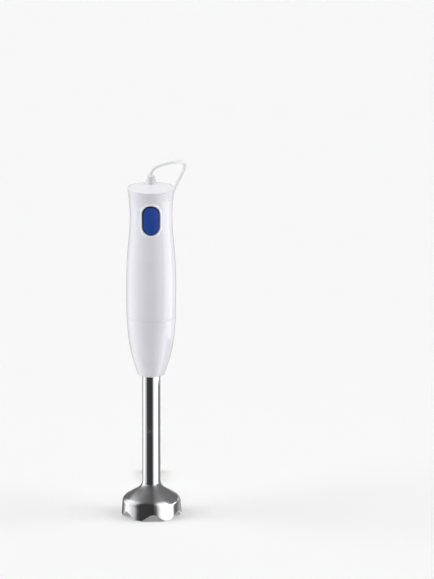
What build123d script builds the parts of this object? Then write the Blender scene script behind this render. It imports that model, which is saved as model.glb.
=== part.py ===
from build123d import *
import os
from math import atan2, cos, pi, radians, sin, tan

# Stick blender standing on its bell guard. Millimetres, +Z up, front is -Y, origin under the axis.

# ---- heights of the outer pieces ----
tube_length = 120.6          # bare steel between the guard's flare and the white cone
cone_length = 67.0
handle_length = 145.0
cap_thickness = 1.6

# ---- bell guard ----
skirt_radius = 33.4
shoulder_radius = 31.85
shoulder_z = 19.6
flare_base_z = 33.1          # where the flare's cone would meet the tube
guard_top_z = 39.9
shoulder_fillet = 9.0
guard_wall = 1.0
scallop_count = 6
scallop_half_width = 16.7    # from its middle to the middle of a lobe
scallop_height = 7.8
scallop_turn = 3.5           # degrees, to the right of the front
lobe_flat = 0.15             # depth of the wave that the flat rim takes off each lobe

# ---- shaft ----
tube_radius = 10.0
tube_wall = 0.8
drive_radius = 3.0
running_gap = 0.05

# ---- handle and cone, radii at their stations ----
seam_radius = 27.1
belly_radius = 27.4
belly_rise = 22.5            # above the seam
taper_radius = 26.0
taper_rise = 73.5            # above the seam
neck_radius = 23.3
neck_drop = 30.0             # below the cap
cap_radius = 25.9
cone_shoulder_radius = 24.6
cone_shoulder_drop = 28.9    # below the seam
cone_waist_radius = 20.2
cone_waist_drop = 49.5
cone_end_lip = 4.6           # outwards from the tube
cone_end_fillet = 2.6
housing_wall = 2.4
cone_wall = 2.2

# ---- button ----
button_width = 19.4
button_height = 33.2
button_drop = 30.6           # its centre, below the cap's seam
button_proud = 1.5
button_travel = 2.0
button_gap = 0.2
button_edge = 0.9
button_wall = 2.0
lip_width = 1.5              # round the button, behind its surround
lip_thickness = 1.3
post_radius = 2.4
bezel_band = 3.0
bezel_proud = 0.7
bezel_edge = 0.5
bezel_depth = 4.4            # behind the inside of the neck's wall

# ---- coupling ----
neck_outer_radius = 17.2
neck_inner_radius = 13.5
neck_height = 15.0
lug_count = 3
lug_radius = 19.4
lug_height = 4.0
lug_rise = 7.5               # underside of the lugs, above the seam
lug_angle = 24.0
lug_play = 3.0               # degrees of room for a lug in its groove
twist_angle = 38.0
claw_inner_radius = 4.2
claw_outer_radius = 8.5
claw_angle = 40.0

# ---- switch and control board ----
board_y = 2.2
board_thickness = 1.6
board_height = 34.0
board_drop = 53.5            # its lower edge, below the cap's seam
board_margin = 3.6           # its edge, inside the neck's wall
guide_reach = 6.0            # inwards from the neck's wall
guide_root = 1.0             # into the wall
guide_depth = 5.0
guide_length = 30.0
plunger_radius = 1.8
plunger_length = 6.0
switch_width = 7.0
switch_height = 20.0

# ---- motor ----
motor_shaft_radius = 3.0
bearing_outer_radius = 9.5
bearing_width = 6.0
fan_radius = 16.5
stator_length = 21.5
stator_radius = 21.5
yoke_inner_radius = 19.2
armature_radius = 12.0
air_gap = 0.4
commutator_radius = 8.0
screw_radius = 1.4
screw_circle = 19.4
screw_head_radius = 2.4
screw_head_height = 1.8
boss_radius = 2.6

# ---- cord ----
cord_diameter = 4.2
cord_radius = cord_diameter / 2
boot_y = 14.0
boot_length = 4.9            # above the cap's boss
coil_turn_radius = 21.0
coil_y = 59.8
coil_height = 2 * cord_diameter

press_gap = 0.02             # between pieces pressed onto each other
fit_gap = 0.1                # between pieces that are pushed together
side_gap = 0.2               # between pieces of one assembly that lie flat on each other
loose_gap = 0.3              # between pieces that only lie beside each other

# ---- heights worked out ----
cone_bottom_z = guard_top_z + tube_length
seam_z = cone_bottom_z + cone_length
cap_seam_z = seam_z + handle_length
top_z = cap_seam_z + cap_thickness
button_z = cap_seam_z - button_drop
cone_end_radius = tube_radius + cone_end_lip
neck_inner = neck_radius - housing_wall
bezel_back = neck_inner - bezel_depth
board_bottom_z = cap_seam_z - board_drop
board_half_width = neck_inner - board_margin
beyond = cap_radius + 10     # clear of every piece of the handle


def handle_outline(offset_out):
    """Handle radius along its height, as points for one smooth line."""
    return [
        (seam_radius + offset_out, seam_z),
        (belly_radius + offset_out, seam_z + belly_rise),
        (taper_radius + offset_out, seam_z + taper_rise),
        (neck_radius + offset_out, cap_seam_z - neck_drop),
        (cap_radius + offset_out, cap_seam_z),
    ]


def cone_outline(offset_out):
    return [
        (cone_end_radius + offset_out, cone_bottom_z),
        (cone_waist_radius + offset_out, seam_z - cone_waist_drop),
        (cone_shoulder_radius + offset_out, seam_z - cone_shoulder_drop),
        (seam_radius + offset_out, seam_z),
    ]


def revolve_under(points, mode=Mode.ADD):
    """Solid of revolution between the axis and a smooth line through the points."""
    with BuildSketch(Plane.XZ) as profile:
        with BuildLine():
            Spline(*points)
            Polyline(points[-1], (0, points[-1][1]), (0, points[0][1]), points[0])
        make_face()
    revolve(profile.sketch, axis=Axis.Z, mode=mode)


def ring(inner_radius, outer_radius, bottom_z, height, mode=Mode.ADD):
    with BuildSketch(Plane.XY.offset(bottom_z)) as profile:
        Circle(outer_radius)
        if inner_radius > 0:
            Circle(inner_radius, mode=Mode.SUBTRACT)
    extrude(profile.sketch, amount=height, mode=mode)


def turned_plane(angle):
    """Upright plane through the axis whose X points outwards at the angle."""
    return Plane(origin=(0, 0, 0), x_dir=(cos(radians(angle)), sin(radians(angle)), 0),
                 z_dir=(sin(radians(angle)), -cos(radians(angle)), 0))


def sector(inner_radius, outer_radius, bottom_z, height, middle_angle, angle, mode=Mode.ADD):
    """Piece of a ring that spans the angle, centred on middle_angle."""
    with BuildSketch(turned_plane(middle_angle - angle / 2)) as profile:
        with Locations(((inner_radius + outer_radius) / 2, bottom_z + height / 2)):
            Rectangle(outer_radius - inner_radius, height)
    revolve(profile.sketch, axis=Axis.Z, revolution_arc=angle, mode=mode)


def save(piece, name):
    piece.part.label = name
    export_step(piece.part, f"parts/{name}.step")


os.makedirs("parts", exist_ok=True)

# ======== white handle ========
with BuildPart() as handle_housing:
    revolve_under(handle_outline(0))
    revolve_under(handle_outline(-housing_wall), mode=Mode.SUBTRACT)
    # opening for the button and its surround
    with BuildSketch(Plane.XZ):
        with Locations((0, button_z)):
            SlotOverall(button_height + 2 * bezel_band, button_width + 2 * bezel_band, rotation=90)
    extrude(amount=beyond, mode=Mode.SUBTRACT)
    # guides for the control board
    for side in (-1, 1):
        with BuildSketch(Plane.XY.offset(board_bottom_z - fit_gap)):
            with Locations((side * (neck_inner + (guide_root - guide_reach) / 2), board_y)):
                Rectangle(guide_reach + guide_root, guide_depth)
            Rectangle(2 * (board_half_width + side_gap), 2 * (board_y + board_thickness / 2 + fit_gap),
                      mode=Mode.SUBTRACT)
            with Locations((side * (neck_inner + (guide_root - guide_reach) / 2),
                            board_y - (guide_depth + board_thickness) / 4 - fit_gap / 2)):
                Rectangle(guide_reach + guide_root, (guide_depth - board_thickness) / 2 - fit_gap)
        extrude(amount=guide_length)
save(handle_housing, "handle_housing")

with BuildPart() as button_bezel:
    revolve_under(handle_outline(bezel_proud))
    with BuildSketch(Plane.XZ.offset(bezel_back)):
        with Locations((0, button_z)):
            SlotOverall(button_height + 2 * (bezel_band - fit_gap), button_width + 2 * (bezel_band - fit_gap),
                        rotation=90)
            SlotOverall(button_height + 2 * button_gap, button_width + 2 * button_gap, rotation=90,
                        mode=Mode.SUBTRACT)
    extrude(amount=beyond - bezel_back, mode=Mode.INTERSECT)
    fillet(button_bezel.faces().sort_by(Axis.Y)[0].edges(), bezel_edge)
save(button_bezel, "button_bezel")

button_back = bezel_back - side_gap - lip_thickness
button_hollow = 5.0
switch_front_y = -(bezel_back - 7.5)
post_end = -switch_front_y + plunger_length / 2 + side_gap
with BuildPart() as power_button:
    revolve_under(handle_outline(button_proud))
    with BuildSketch(Plane.XZ.offset(button_back)):
        with Locations((0, button_z)):
            SlotOverall(button_height, button_width, rotation=90)
    extrude(amount=beyond - button_back, mode=Mode.INTERSECT)
    fillet(power_button.faces().sort_by(Axis.Y)[0].edges(), button_edge)
    # hollow behind the face, with a lip that stops the button behind its surround
    with BuildSketch(Plane.XZ.offset(button_back)):
        with Locations((0, button_z)):
            SlotOverall(button_height - 2 * button_wall, button_width - 2 * button_wall, rotation=90)
    extrude(amount=button_hollow, mode=Mode.SUBTRACT)
    with BuildSketch(Plane.XZ.offset(button_back)):
        with Locations((0, button_z)):
            SlotOverall(button_height + 2 * lip_width, button_width + 2 * lip_width, rotation=90)
            SlotOverall(button_height - 2 * button_wall, button_width - 2 * button_wall, rotation=90,
                        mode=Mode.SUBTRACT)
    extrude(amount=lip_thickness)
    # post that presses the switch
    with BuildSketch(Plane.XZ.offset(post_end)):
        with Locations((0, button_z)):
            Circle(post_radius)
    extrude(amount=button_back + button_hollow - post_end + 0.6)
save(power_button, "power_button")

boss_height = 4.2
boss_foot_radius = 6.3
boss_taper = 12
boot_foot_radius = 4.6
spigot_depth = 7.0
spigot_wall = 1.8
cap_bevel = 1.1
cap_bevel_width = 2.6
with BuildPart() as top_cap:
    # spigot that follows the inside of the handle's wall
    revolve_under(handle_outline(-housing_wall - fit_gap))
    ring(0, beyond, seam_z - 1, handle_length - spigot_depth + 1, mode=Mode.SUBTRACT)
    ring(0, neck_inner + 1.0 - spigot_wall, cap_seam_z - spigot_depth, spigot_depth, mode=Mode.SUBTRACT)
    ring(0, cap_radius, cap_seam_z, cap_thickness)
    chamfer(top_cap.faces().sort_by(Axis.Z)[-1].edges(), cap_bevel, cap_bevel_width)
    fillet(top_cap.edges().filter_by(GeomType.CIRCLE).sort_by(Axis.Z)[-1], 2.0)
    # raised boss for the cord, towards the back
    with BuildSketch(Plane.XY.offset(top_z)):
        with Locations((0, boot_y)):
            Circle(boss_foot_radius)
    extrude(amount=boss_height, taper=boss_taper)
    fillet(top_cap.faces().sort_by(Axis.Z)[-1].edges(), 0.4)
    with BuildSketch(Plane.XY.offset(cap_seam_z - spigot_depth)):
        with Locations((0, boot_y)):
            Circle(boot_foot_radius + fit_gap)
    extrude(amount=spigot_depth + cap_thickness + boss_height, mode=Mode.SUBTRACT)
save(top_cap, "top_cap")

# ======== cord ========
boss_top_z = top_z + boss_height
boot_bottom_z = cap_seam_z - 8.0
boot_tip_radius = 4.2
boot_collar_radius = 5.9
boot_top_z = boss_top_z + boot_length
rib_count = 3
rib_pitch = 1.5
rib_width = 0.8
rib_rise = 0.35
with BuildPart() as strain_relief:
    with BuildSketch(Plane.XY.offset(boot_bottom_z)):
        with Locations((0, boot_y)):
            Circle(boot_foot_radius)
    extrude(amount=boss_top_z - boot_bottom_z)
    # collar under the cap that keeps it from pulling out
    with BuildSketch(Plane.XY.offset(boot_bottom_z)):
        with Locations((0, boot_y)):
            Circle(boot_collar_radius)
    extrude(amount=cap_seam_z - boot_bottom_z - side_gap)
    # short ribbed block above the boss
    with BuildSketch(Plane.XY.offset(boss_top_z)):
        with Locations((0, boot_y)):
            Circle(boot_foot_radius)
    with BuildSketch(Plane.XY.offset(boot_top_z)):
        with Locations((0, boot_y)):
            Circle(boot_tip_radius)
    loft()
    fillet(strain_relief.faces().sort_by(Axis.Z)[-1].edges(), 0.5)
    for rib in range(rib_count):
        rib_bottom = boss_top_z + 0.4 + rib * rib_pitch
        with BuildSketch(Plane.XY.offset(rib_bottom)):
            with Locations((0, boot_y)):
                Circle(boot_foot_radius + rib_rise - 0.12 * rib)
        extrude(amount=rib_width)
save(strain_relief, "strain_relief")

# over the top, down behind the handle and onto the coil
cord_route = [
    (0, boot_y, boot_top_z),
    (0, boot_y, boot_top_z + 4.0),
    (2.8, boot_y, boot_top_z + 8.1),
    (8.8, boot_y + 0.1, boot_top_z + 11.6),
    (15.8, boot_y + 0.8, boot_top_z + 13.6),
    (23.8, boot_y + 3.0, boot_top_z + 14.6),
    (31.2, boot_y + 8.0, boot_top_z + 14.2),
    (36.2, boot_y + 16.4, boot_top_z + 11.2),
    (37.2, boot_y + 26.2, boot_top_z + 4.4),
    (34.4, boot_y + 35.0, boot_top_z - 5.8),
    (28.0, boot_y + 40.8, boot_top_z - 20.2),
    (18.5, boot_y + 41.0, boot_top_z - 42.2),
    (10.5, boot_y + 36.2, boot_top_z - 77.2),
    (5.0, 43.8, seam_z + 30.5),
    (0.9, 40.2, seam_z - 20.5),
    (1.6, 38.6, 157.0),
    (3.2, 38.3, 108.0),
    (5.4, 38.6, 64.0),
    (6.0, 38.4, 42.0),
    (5.3, 38.2, 27.0),
    (1.2, 38.0, 14.6),
    (-7.0, 38.6, 6.8),
]


def bend_radii(route):
    """Largest arc at each corner that leaves a tenth of the shorter run straight."""
    points = [Vector(*point) for point in route]
    radii = []
    for before, corner, after in zip(points, points[1:], points[2:]):
        run_in = corner - before
        run_out = after - corner
        half_turn = radians(run_in.get_angle(run_out)) / 2
        radii.append(0.45 * min(run_in.length, run_out.length) / tan(half_turn))
    return radii


def cord_tube(route, name):
    radii = bend_radii(route)
    with BuildPart() as tube:
        with BuildLine():
            centre = FilletPolyline(*route, radius=radii)
        with BuildSketch(Plane(origin=centre @ 0, z_dir=centre % 0)):
            Circle(cord_radius)
        sweep(path=centre)
    runs = [(Vector(*b) - Vector(*a)).length for a, b in zip(route, route[1:])]
    print(name, "length", round(centre.length, 1), "radii", [round(r, 1) for r in radii],
          "runs", [round(r, 1) for r in runs],
          "volume ratio", round(tube.part.volume / (centre.length * pi * cord_radius**2), 4))
    save(tube, name)


cord_tube(cord_route, "mains_cord")

coil_inner_radius = coil_turn_radius - cord_diameter
coil_outer_radius = coil_turn_radius + cord_diameter
with BuildPart() as cord_coil:
    with BuildSketch():
        with Locations((0, coil_y)):
            Circle(coil_outer_radius)
            Circle(coil_inner_radius, mode=Mode.SUBTRACT)
    extrude(amount=coil_height)
    fillet(cord_coil.edges().filter_by(GeomType.CIRCLE), 0.75 * cord_radius)
save(cord_coil, "cord_coil")

outer_turn_radius = coil_turn_radius + cord_radius
plug_x = -0.8
plug_lead_route = [
    (-outer_turn_radius, coil_y + 1.0, cord_radius),
    (-outer_turn_radius + 0.1, coil_y + 13.2, cord_radius),
    (-17.2, coil_y + 24.8, cord_radius),
    (-6.8, coil_y + 32.4, cord_radius),
    (plug_x, coil_y + 43.8, 5.5),
    (plug_x, coil_y + 55.0, 5.5),
]
plug_start = plug_lead_route[-1]
cord_tube(plug_lead_route, "plug_lead")

# two-blade plug lying flat behind the coil
plug_length = 26.0
plug_width = 18.5
plug_thickness = 13.0
plug_waist_width = 14.0
plug_waist_thickness = 10.0
plug_rounding = 4.4
relief_length = 12.0
relief_foot_radius = 4.4
relief_tip_radius = 2.9
plug_blade_length = 17.0
plug_blade_width = 6.35
plug_blade_thickness = 1.5
plug_blade_spacing = 12.7
plug_front_y = plug_start[1] + relief_length + plug_length
plug_axis_z = plug_thickness / 2
with BuildPart() as plug_body:
    with BuildSketch(Plane(origin=(plug_x, plug_front_y, plug_axis_z), x_dir=(1, 0, 0), z_dir=(0, -1, 0))):
        RectangleRounded(plug_width, plug_thickness, plug_rounding)
    with BuildSketch(Plane(origin=(plug_x, plug_front_y - plug_length, plug_axis_z), x_dir=(1, 0, 0),
                           z_dir=(0, -1, 0))):
        RectangleRounded(plug_waist_width, plug_waist_thickness, plug_rounding)
    loft()
    with BuildSketch(Plane(origin=(plug_x, plug_front_y - plug_length, plug_axis_z), x_dir=(1, 0, 0),
                           z_dir=(0, -1, 0))):
        Circle(relief_foot_radius)
    with BuildSketch(Plane(origin=(plug_x, plug_start[1], plug_start[2]), x_dir=(1, 0, 0), z_dir=(0, -1, 0))):
        Circle(relief_tip_radius)
    loft()
save(plug_body, "plug_body")

with BuildPart() as plug_blades:
    with BuildSketch(Plane(origin=(plug_x, plug_front_y, plug_axis_z), x_dir=(1, 0, 0), z_dir=(0, 1, 0))):
        with GridLocations(plug_blade_spacing, 0, 2, 1):
            Rectangle(plug_blade_thickness, plug_blade_width)
    extrude(amount=plug_blade_length)
    fillet(plug_blades.faces().filter_by(Plane.XZ).group_by(Axis.Y)[-1].edges().filter_by(Axis.X), 2.6)
save(plug_blades, "plug_blades")

# ======== cord entry inside the handle ========
stub_length = 12.0
clamp_drop = 7.0             # below the boot's collar
clamp_width = 19.0
clamp_depth = 7.4
clamp_height = 5.0
clamp_screw_x = 6.8
clamp_y = boot_y + 0.6
bridge_height = 3.9
bridge_front_y = boot_y - 5.5
clamp_z = boot_bottom_z - clamp_drop
with BuildPart() as cord_stub:
    with BuildSketch(Plane.XY.offset(boot_bottom_z - stub_length)):
        with Locations((0, boot_y)):
            Circle(cord_radius)
    extrude(amount=stub_length)
save(cord_stub, "cord_stub")

with BuildPart() as cord_clamp:
    with BuildSketch(Plane.XY.offset(clamp_z - clamp_height / 2)):
        with Locations((0, clamp_y)):
            Rectangle(clamp_width, clamp_depth)
        with Locations((0, boot_y)):
            Circle(cord_radius + fit_gap, mode=Mode.SUBTRACT)
        with Locations((-clamp_screw_x, clamp_y), (clamp_screw_x, clamp_y)):
            Circle(screw_radius + fit_gap, mode=Mode.SUBTRACT)
    extrude(amount=clamp_height)
save(cord_clamp, "cord_clamp")

bridge_bottom_z = clamp_z - clamp_height / 2 - fit_gap - bridge_height
with BuildPart() as clamp_bridge:
    # cross-bar of the housing's chassis that the clamp is screwed to
    with BuildSketch(Plane.XY.offset(bridge_bottom_z)):
        Circle(neck_inner - fit_gap)
        with Locations((0, bridge_front_y - beyond / 2)):
            Rectangle(2 * beyond, beyond, mode=Mode.SUBTRACT)
        with Locations((0, boot_y)):
            Circle(2 * cord_radius, mode=Mode.SUBTRACT)
        with Locations((-clamp_screw_x, clamp_y), (clamp_screw_x, clamp_y)):
            Circle(screw_radius + fit_gap, mode=Mode.SUBTRACT)
    extrude(amount=bridge_height)
save(clamp_bridge, "clamp_bridge")

with BuildPart() as clamp_screws:
    for side in (-1, 1):
        with BuildSketch(Plane.XY.offset(bridge_bottom_z)):
            with Locations((side * clamp_screw_x, clamp_y)):
                Circle(screw_radius)
        extrude(amount=bridge_height + clamp_height + 2 * fit_gap)
        with BuildSketch(Plane.XY.offset(clamp_z + clamp_height / 2 + fit_gap)):
            with Locations((side * clamp_screw_x, clamp_y)):
                Circle(screw_head_radius)
        extrude(amount=screw_head_height)
save(clamp_screws, "clamp_screws")

# ======== switch and control board ========
with BuildPart() as control_board:
    with BuildSketch(Plane.XY.offset(board_bottom_z)):
        with Locations((0, board_y)):
            Rectangle(2 * board_half_width, board_thickness)
    extrude(amount=board_height)
save(control_board, "control_board")

switch_back_y = board_y - board_thickness / 2 - press_gap
with BuildPart() as microswitch:
    with BuildSketch(Plane.XY.offset(button_z - switch_height / 2)):
        with Locations((0, (switch_front_y + switch_back_y) / 2)):
            Rectangle(switch_width, switch_back_y - switch_front_y)
    extrude(amount=switch_height)
    fillet(microswitch.edges().filter_by(Axis.Z), 0.5)
    with BuildSketch(Plane.XZ.offset(-switch_front_y - plunger_length)):
        with Locations((0, button_z)):
            Circle(plunger_radius + running_gap)
    extrude(amount=plunger_length, mode=Mode.SUBTRACT)
save(microswitch, "microswitch")

with BuildPart() as switch_plunger:
    with BuildSketch(Plane.XZ.offset(-switch_front_y - plunger_length / 2)):
        with Locations((0, button_z)):
            Circle(plunger_radius)
    extrude(amount=plunger_length)
    fillet(switch_plunger.faces().sort_by(Axis.Y)[0].edges(), 0.5)
save(switch_plunger, "switch_plunger")

board_back_y = board_y + board_thickness / 2 + press_gap
capacitor_width = 17.5
capacitor_depth = 8.0
capacitor_height = 13.0
with BuildPart() as suppressor_capacitor:
    with BuildSketch(Plane.XY.offset(board_bottom_z + 3)):
        with Locations((0, board_back_y + capacitor_depth / 2)):
            Rectangle(capacitor_width, capacitor_depth)
    extrude(amount=capacitor_height)
    fillet(suppressor_capacitor.edges().filter_by(Axis.Z), 1.0)
save(suppressor_capacitor, "suppressor_capacitor")

block_bottom_z = board_bottom_z + 19
block_width = 14.0
block_depth = 7.0
block_height = 8.0
terminal_x = 3.4
terminal_depth = 4.0
terminal_radius = 1.6
terminal_y = board_back_y + block_depth / 2
with BuildPart() as terminal_block:
    with BuildSketch(Plane.XY.offset(block_bottom_z)):
        with Locations((0, terminal_y)):
            Rectangle(block_width, block_depth)
    extrude(amount=block_height)
    with BuildSketch(Plane.XY.offset(block_bottom_z + block_height - terminal_depth)):
        with Locations((-terminal_x, terminal_y), (terminal_x, terminal_y)):
            Circle(terminal_radius)
    extrude(amount=terminal_depth, mode=Mode.SUBTRACT)
save(terminal_block, "terminal_block")

wire_radius = 0.9
wire_top_z = boot_bottom_z - stub_length
with BuildPart() as supply_wires:
    for side in (-1, 1):
        start = (side * cord_radius / 2, boot_y, wire_top_z)
        mouth = (side * terminal_x, terminal_y, block_bottom_z + block_height + side_gap)
        with BuildLine() as wire_path:
            Bezier(start, (start[0], start[1], start[2] - 2), (mouth[0], mouth[1], mouth[2] + 2), mouth)
            Line(mouth, (mouth[0], mouth[1], mouth[2] - terminal_depth + side_gap))
        with BuildSketch(Plane(origin=wire_path.line @ 0, z_dir=wire_path.line % 0)):
            Circle(wire_radius)
        sweep(path=wire_path.line)
save(supply_wires, "supply_wires")

# ======== coupling socket, motor frame ========
socket_height = 20.8
socket_floor = 4.6
socket_outer_radius = seam_radius - housing_wall - loose_gap
socket_bottom_z = seam_z + 0.6
socket_floor_z = seam_z + socket_height - socket_floor
groove_bottom_z = seam_z + lug_rise - loose_gap
groove_height = lug_height + 2 * loose_gap
with BuildPart() as coupling_socket:
    ring(0, socket_outer_radius, socket_bottom_z, seam_z + socket_height - socket_bottom_z)
    ring(0, neck_outer_radius + side_gap, socket_bottom_z, socket_floor_z - socket_bottom_z, mode=Mode.SUBTRACT)
    ring(0, claw_outer_radius + 0.7, socket_floor_z, socket_floor, mode=Mode.SUBTRACT)
    for lug in range(lug_count):
        middle = 90 + lug * 360 / lug_count
        # the lug turns from its locked place to the upright entry slot
        sector(neck_outer_radius - 1, lug_radius + 2 * side_gap, groove_bottom_z, groove_height,
               middle + twist_angle / 2, lug_angle + twist_angle + lug_play, mode=Mode.SUBTRACT)
        sector(neck_outer_radius - 1, lug_radius + 2 * side_gap, seam_z, lug_rise + lug_height + loose_gap,
               middle + twist_angle, lug_angle + lug_play, mode=Mode.SUBTRACT)
save(coupling_socket, "coupling_socket")

lower_plate_z = seam_z + socket_height + fit_gap
plate_thickness = 4.0
fan_room = 18.8
brush_room = 22.0
upper_plate_thickness = 3.0
lower_plate_radius = 22.2
upper_plate_radius = 21.2
hub_wall = 1.8
stator_z = lower_plate_z + fan_room
stator_top_z = stator_z + stator_length
upper_plate_z = stator_top_z + brush_room


window_rims = 4.5
window_width = 14.0


def bracket_plate(radius, bottom_z, thickness, hub_radius):
    """Round plate with two wide air windows on the X sides and its hub in the middle."""
    with BuildSketch(Plane.XY.offset(bottom_z)) as profile:
        Circle(radius)
        with Locations((-(radius + hub_radius) / 2 - 0.3, 0), ((radius + hub_radius) / 2 + 0.3, 0)):
            Rectangle(radius - hub_radius - window_rims, window_width, mode=Mode.SUBTRACT)
    extrude(profile.sketch, amount=thickness)


with BuildPart() as lower_bracket:
    bracket_plate(lower_plate_radius, lower_plate_z, plate_thickness, bearing_outer_radius + hub_wall)
    ring(0, bearing_outer_radius + hub_wall, lower_plate_z, bearing_width + 0.8)
    ring(0, bearing_outer_radius + press_gap, lower_plate_z, bearing_width, mode=Mode.SUBTRACT)
    ring(0, motor_shaft_radius + 1.5, lower_plate_z, bearing_width + 1, mode=Mode.SUBTRACT)
    for side in (-1, 1):
        with BuildSketch(Plane.XY.offset(lower_plate_z + plate_thickness)):
            with Locations((0, side * screw_circle)):
                Circle(boss_radius)
        extrude(amount=stator_z - lower_plate_z - plate_thickness)
    with BuildSketch(Plane.XY.offset(lower_plate_z)):
        with Locations((0, -screw_circle), (0, screw_circle)):
            Circle(screw_radius + running_gap)
    extrude(amount=stator_z - lower_plate_z, mode=Mode.SUBTRACT)
save(lower_bracket, "lower_bracket")

with BuildPart() as lower_bearing:
    ring(motor_shaft_radius + press_gap, bearing_outer_radius, lower_plate_z, bearing_width)
save(lower_bearing, "lower_bearing")

upper_bush_z = upper_plate_z - 2.0
upper_bush_radius = 6.5
upper_bush_length = 6.0
with BuildPart() as upper_bracket:
    bracket_plate(upper_plate_radius, upper_plate_z, upper_plate_thickness, upper_bush_radius + hub_wall)
    ring(upper_bush_radius + press_gap, upper_bush_radius + hub_wall, upper_bush_z, upper_bush_length)
    ring(0, upper_bush_radius + press_gap, upper_bush_z, upper_bush_length, mode=Mode.SUBTRACT)
    for side in (-1, 1):
        with BuildSketch(Plane.XY.offset(stator_top_z)):
            with Locations((0, side * screw_circle)):
                Circle(boss_radius)
        extrude(amount=upper_plate_z - stator_top_z)
    with BuildSketch(Plane.XY.offset(stator_top_z)):
        with Locations((0, -screw_circle), (0, screw_circle)):
            Circle(screw_radius + running_gap)
    extrude(amount=upper_plate_z + upper_plate_thickness - stator_top_z, mode=Mode.SUBTRACT)
    ring(upper_plate_radius, beyond, stator_top_z, brush_room + upper_plate_thickness, mode=Mode.SUBTRACT)
save(upper_bracket, "upper_bracket")

with BuildPart() as upper_bush:
    ring(motor_shaft_radius + running_gap, upper_bush_radius, upper_bush_z, upper_bush_length)
save(upper_bush, "upper_bush")

with BuildPart() as motor_screws:
    for side in (-1, 1):
        with BuildSketch(Plane.XY.offset(lower_plate_z + 0.5)):
            with Locations((0, side * screw_circle)):
                Circle(screw_radius)
        extrude(amount=upper_plate_z + upper_plate_thickness - lower_plate_z - 0.5)
        with BuildSketch(Plane.XY.offset(upper_plate_z + upper_plate_thickness)):
            with Locations((0, side * screw_circle)):
                Circle(screw_head_radius)
        extrude(amount=screw_head_height)
save(motor_screws, "motor_screws")

pole_half_width = 6.4
with BuildPart() as stator_core:
    ring(yoke_inner_radius, stator_radius, stator_z, stator_length)
    with BuildSketch(Plane.XY.offset(stator_z)):
        with Locations((0, -screw_circle), (0, screw_circle)):
            Circle(boss_radius)
        with Locations((-(armature_radius + yoke_inner_radius + 1) / 2, 0),
                       ((armature_radius + yoke_inner_radius + 1) / 2, 0)):
            Rectangle(yoke_inner_radius + 1 - armature_radius, 2 * pole_half_width)
        Circle(armature_radius + air_gap, mode=Mode.SUBTRACT)
        with Locations((0, -screw_circle), (0, screw_circle)):
            Circle(screw_radius + running_gap, mode=Mode.SUBTRACT)
    extrude(amount=stator_length)
    with BuildSketch(Plane.XY.offset(stator_z)):
        with Locations((0, -screw_circle), (0, screw_circle)):
            Circle(screw_radius + running_gap)
    extrude(amount=stator_length, mode=Mode.SUBTRACT)
save(stator_core, "stator_core")

winding_head = 3.6
winding_width = 3.5
winding_depth = 2.8
winding_x = armature_radius + air_gap + 0.9 + winding_depth / 2
with BuildPart() as field_coils:
    for side in (-1, 1):
        with BuildSketch(Plane.YZ.offset(side * winding_x - winding_depth / 2)):
            with Locations((0, stator_z + stator_length / 2)):
                RectangleRounded(2 * (pole_half_width + winding_width),
                                 stator_length + 2 * (winding_head + side_gap), winding_width - 0.5)
                Rectangle(2 * (pole_half_width + side_gap), stator_length + 2 * side_gap, mode=Mode.SUBTRACT)
        extrude(amount=winding_depth)
save(field_coils, "field_coils")

brush_z = stator_top_z + 14.0
brush_inner = commutator_radius + 0.15
brush_width = 5.9
brush_height = 4.9
brush_length = 7.2
holder_wall = 1.15
holder_start = commutator_radius + 1.8
holder_length = 9.2
holder_foot = 3.6
holder_width = brush_width + 2 * (fit_gap + holder_wall)
holder_height = brush_height + 2 * (fit_gap + holder_wall)
with BuildPart() as brush_holders:
    for side in (-1, 1):
        with BuildSketch(Plane.YZ.offset(side * (holder_start + holder_length / 2) - holder_length / 2)):
            with Locations((0, brush_z)):
                Rectangle(holder_width, holder_height)
                Rectangle(holder_width - 2 * holder_wall, holder_height - 2 * holder_wall, mode=Mode.SUBTRACT)
        extrude(amount=holder_length)
        with BuildSketch(Plane.XY.offset(brush_z + holder_height / 2)):
            with Locations((side * (holder_start + holder_length - holder_foot / 2 - 0.6), 0)):
                Rectangle(holder_foot, holder_width)
        extrude(amount=upper_plate_z - brush_z - holder_height / 2)
save(brush_holders, "brush_holders")

with BuildPart() as carbon_brushes:
    for side in (-1, 1):
        with BuildSketch(Plane.YZ.offset(side * (brush_inner + brush_length / 2) - brush_length / 2)):
            with Locations((0, brush_z)):
                Rectangle(brush_width, brush_height)
        extrude(amount=brush_length)
    ring(0, brush_inner, brush_z - brush_height, 2 * brush_height, mode=Mode.SUBTRACT)
save(carbon_brushes, "carbon_brushes")

spring_wire_radius = 0.25
spring_start = brush_inner + brush_length + spring_wire_radius + fit_gap
spring_end = holder_start + holder_length - fit_gap
with BuildPart() as brush_springs:
    for side in (-1, 1):
        with BuildLine() as coil_path:
            Helix(pitch=1.1, height=spring_end - spring_start, radius=1.8,
                  center=(side * spring_start, 0, brush_z), direction=(side, 0, 0))
        with BuildSketch(Plane(origin=coil_path.line @ 0, z_dir=coil_path.line % 0)):
            Circle(spring_wire_radius)
        sweep(path=coil_path.line, is_frenet=True)
save(brush_springs, "brush_springs")

with BuildPart() as lower_buffer:
    ring(lower_plate_radius + running_gap, belly_radius - housing_wall - side_gap, lower_plate_z,
         plate_thickness)
save(lower_buffer, "lower_buffer")

with BuildPart() as upper_buffer:
    ring(upper_plate_radius + running_gap, taper_radius - housing_wall - 1.6, upper_plate_z - side_gap,
         upper_plate_thickness)
save(upper_buffer, "upper_buffer")

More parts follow.
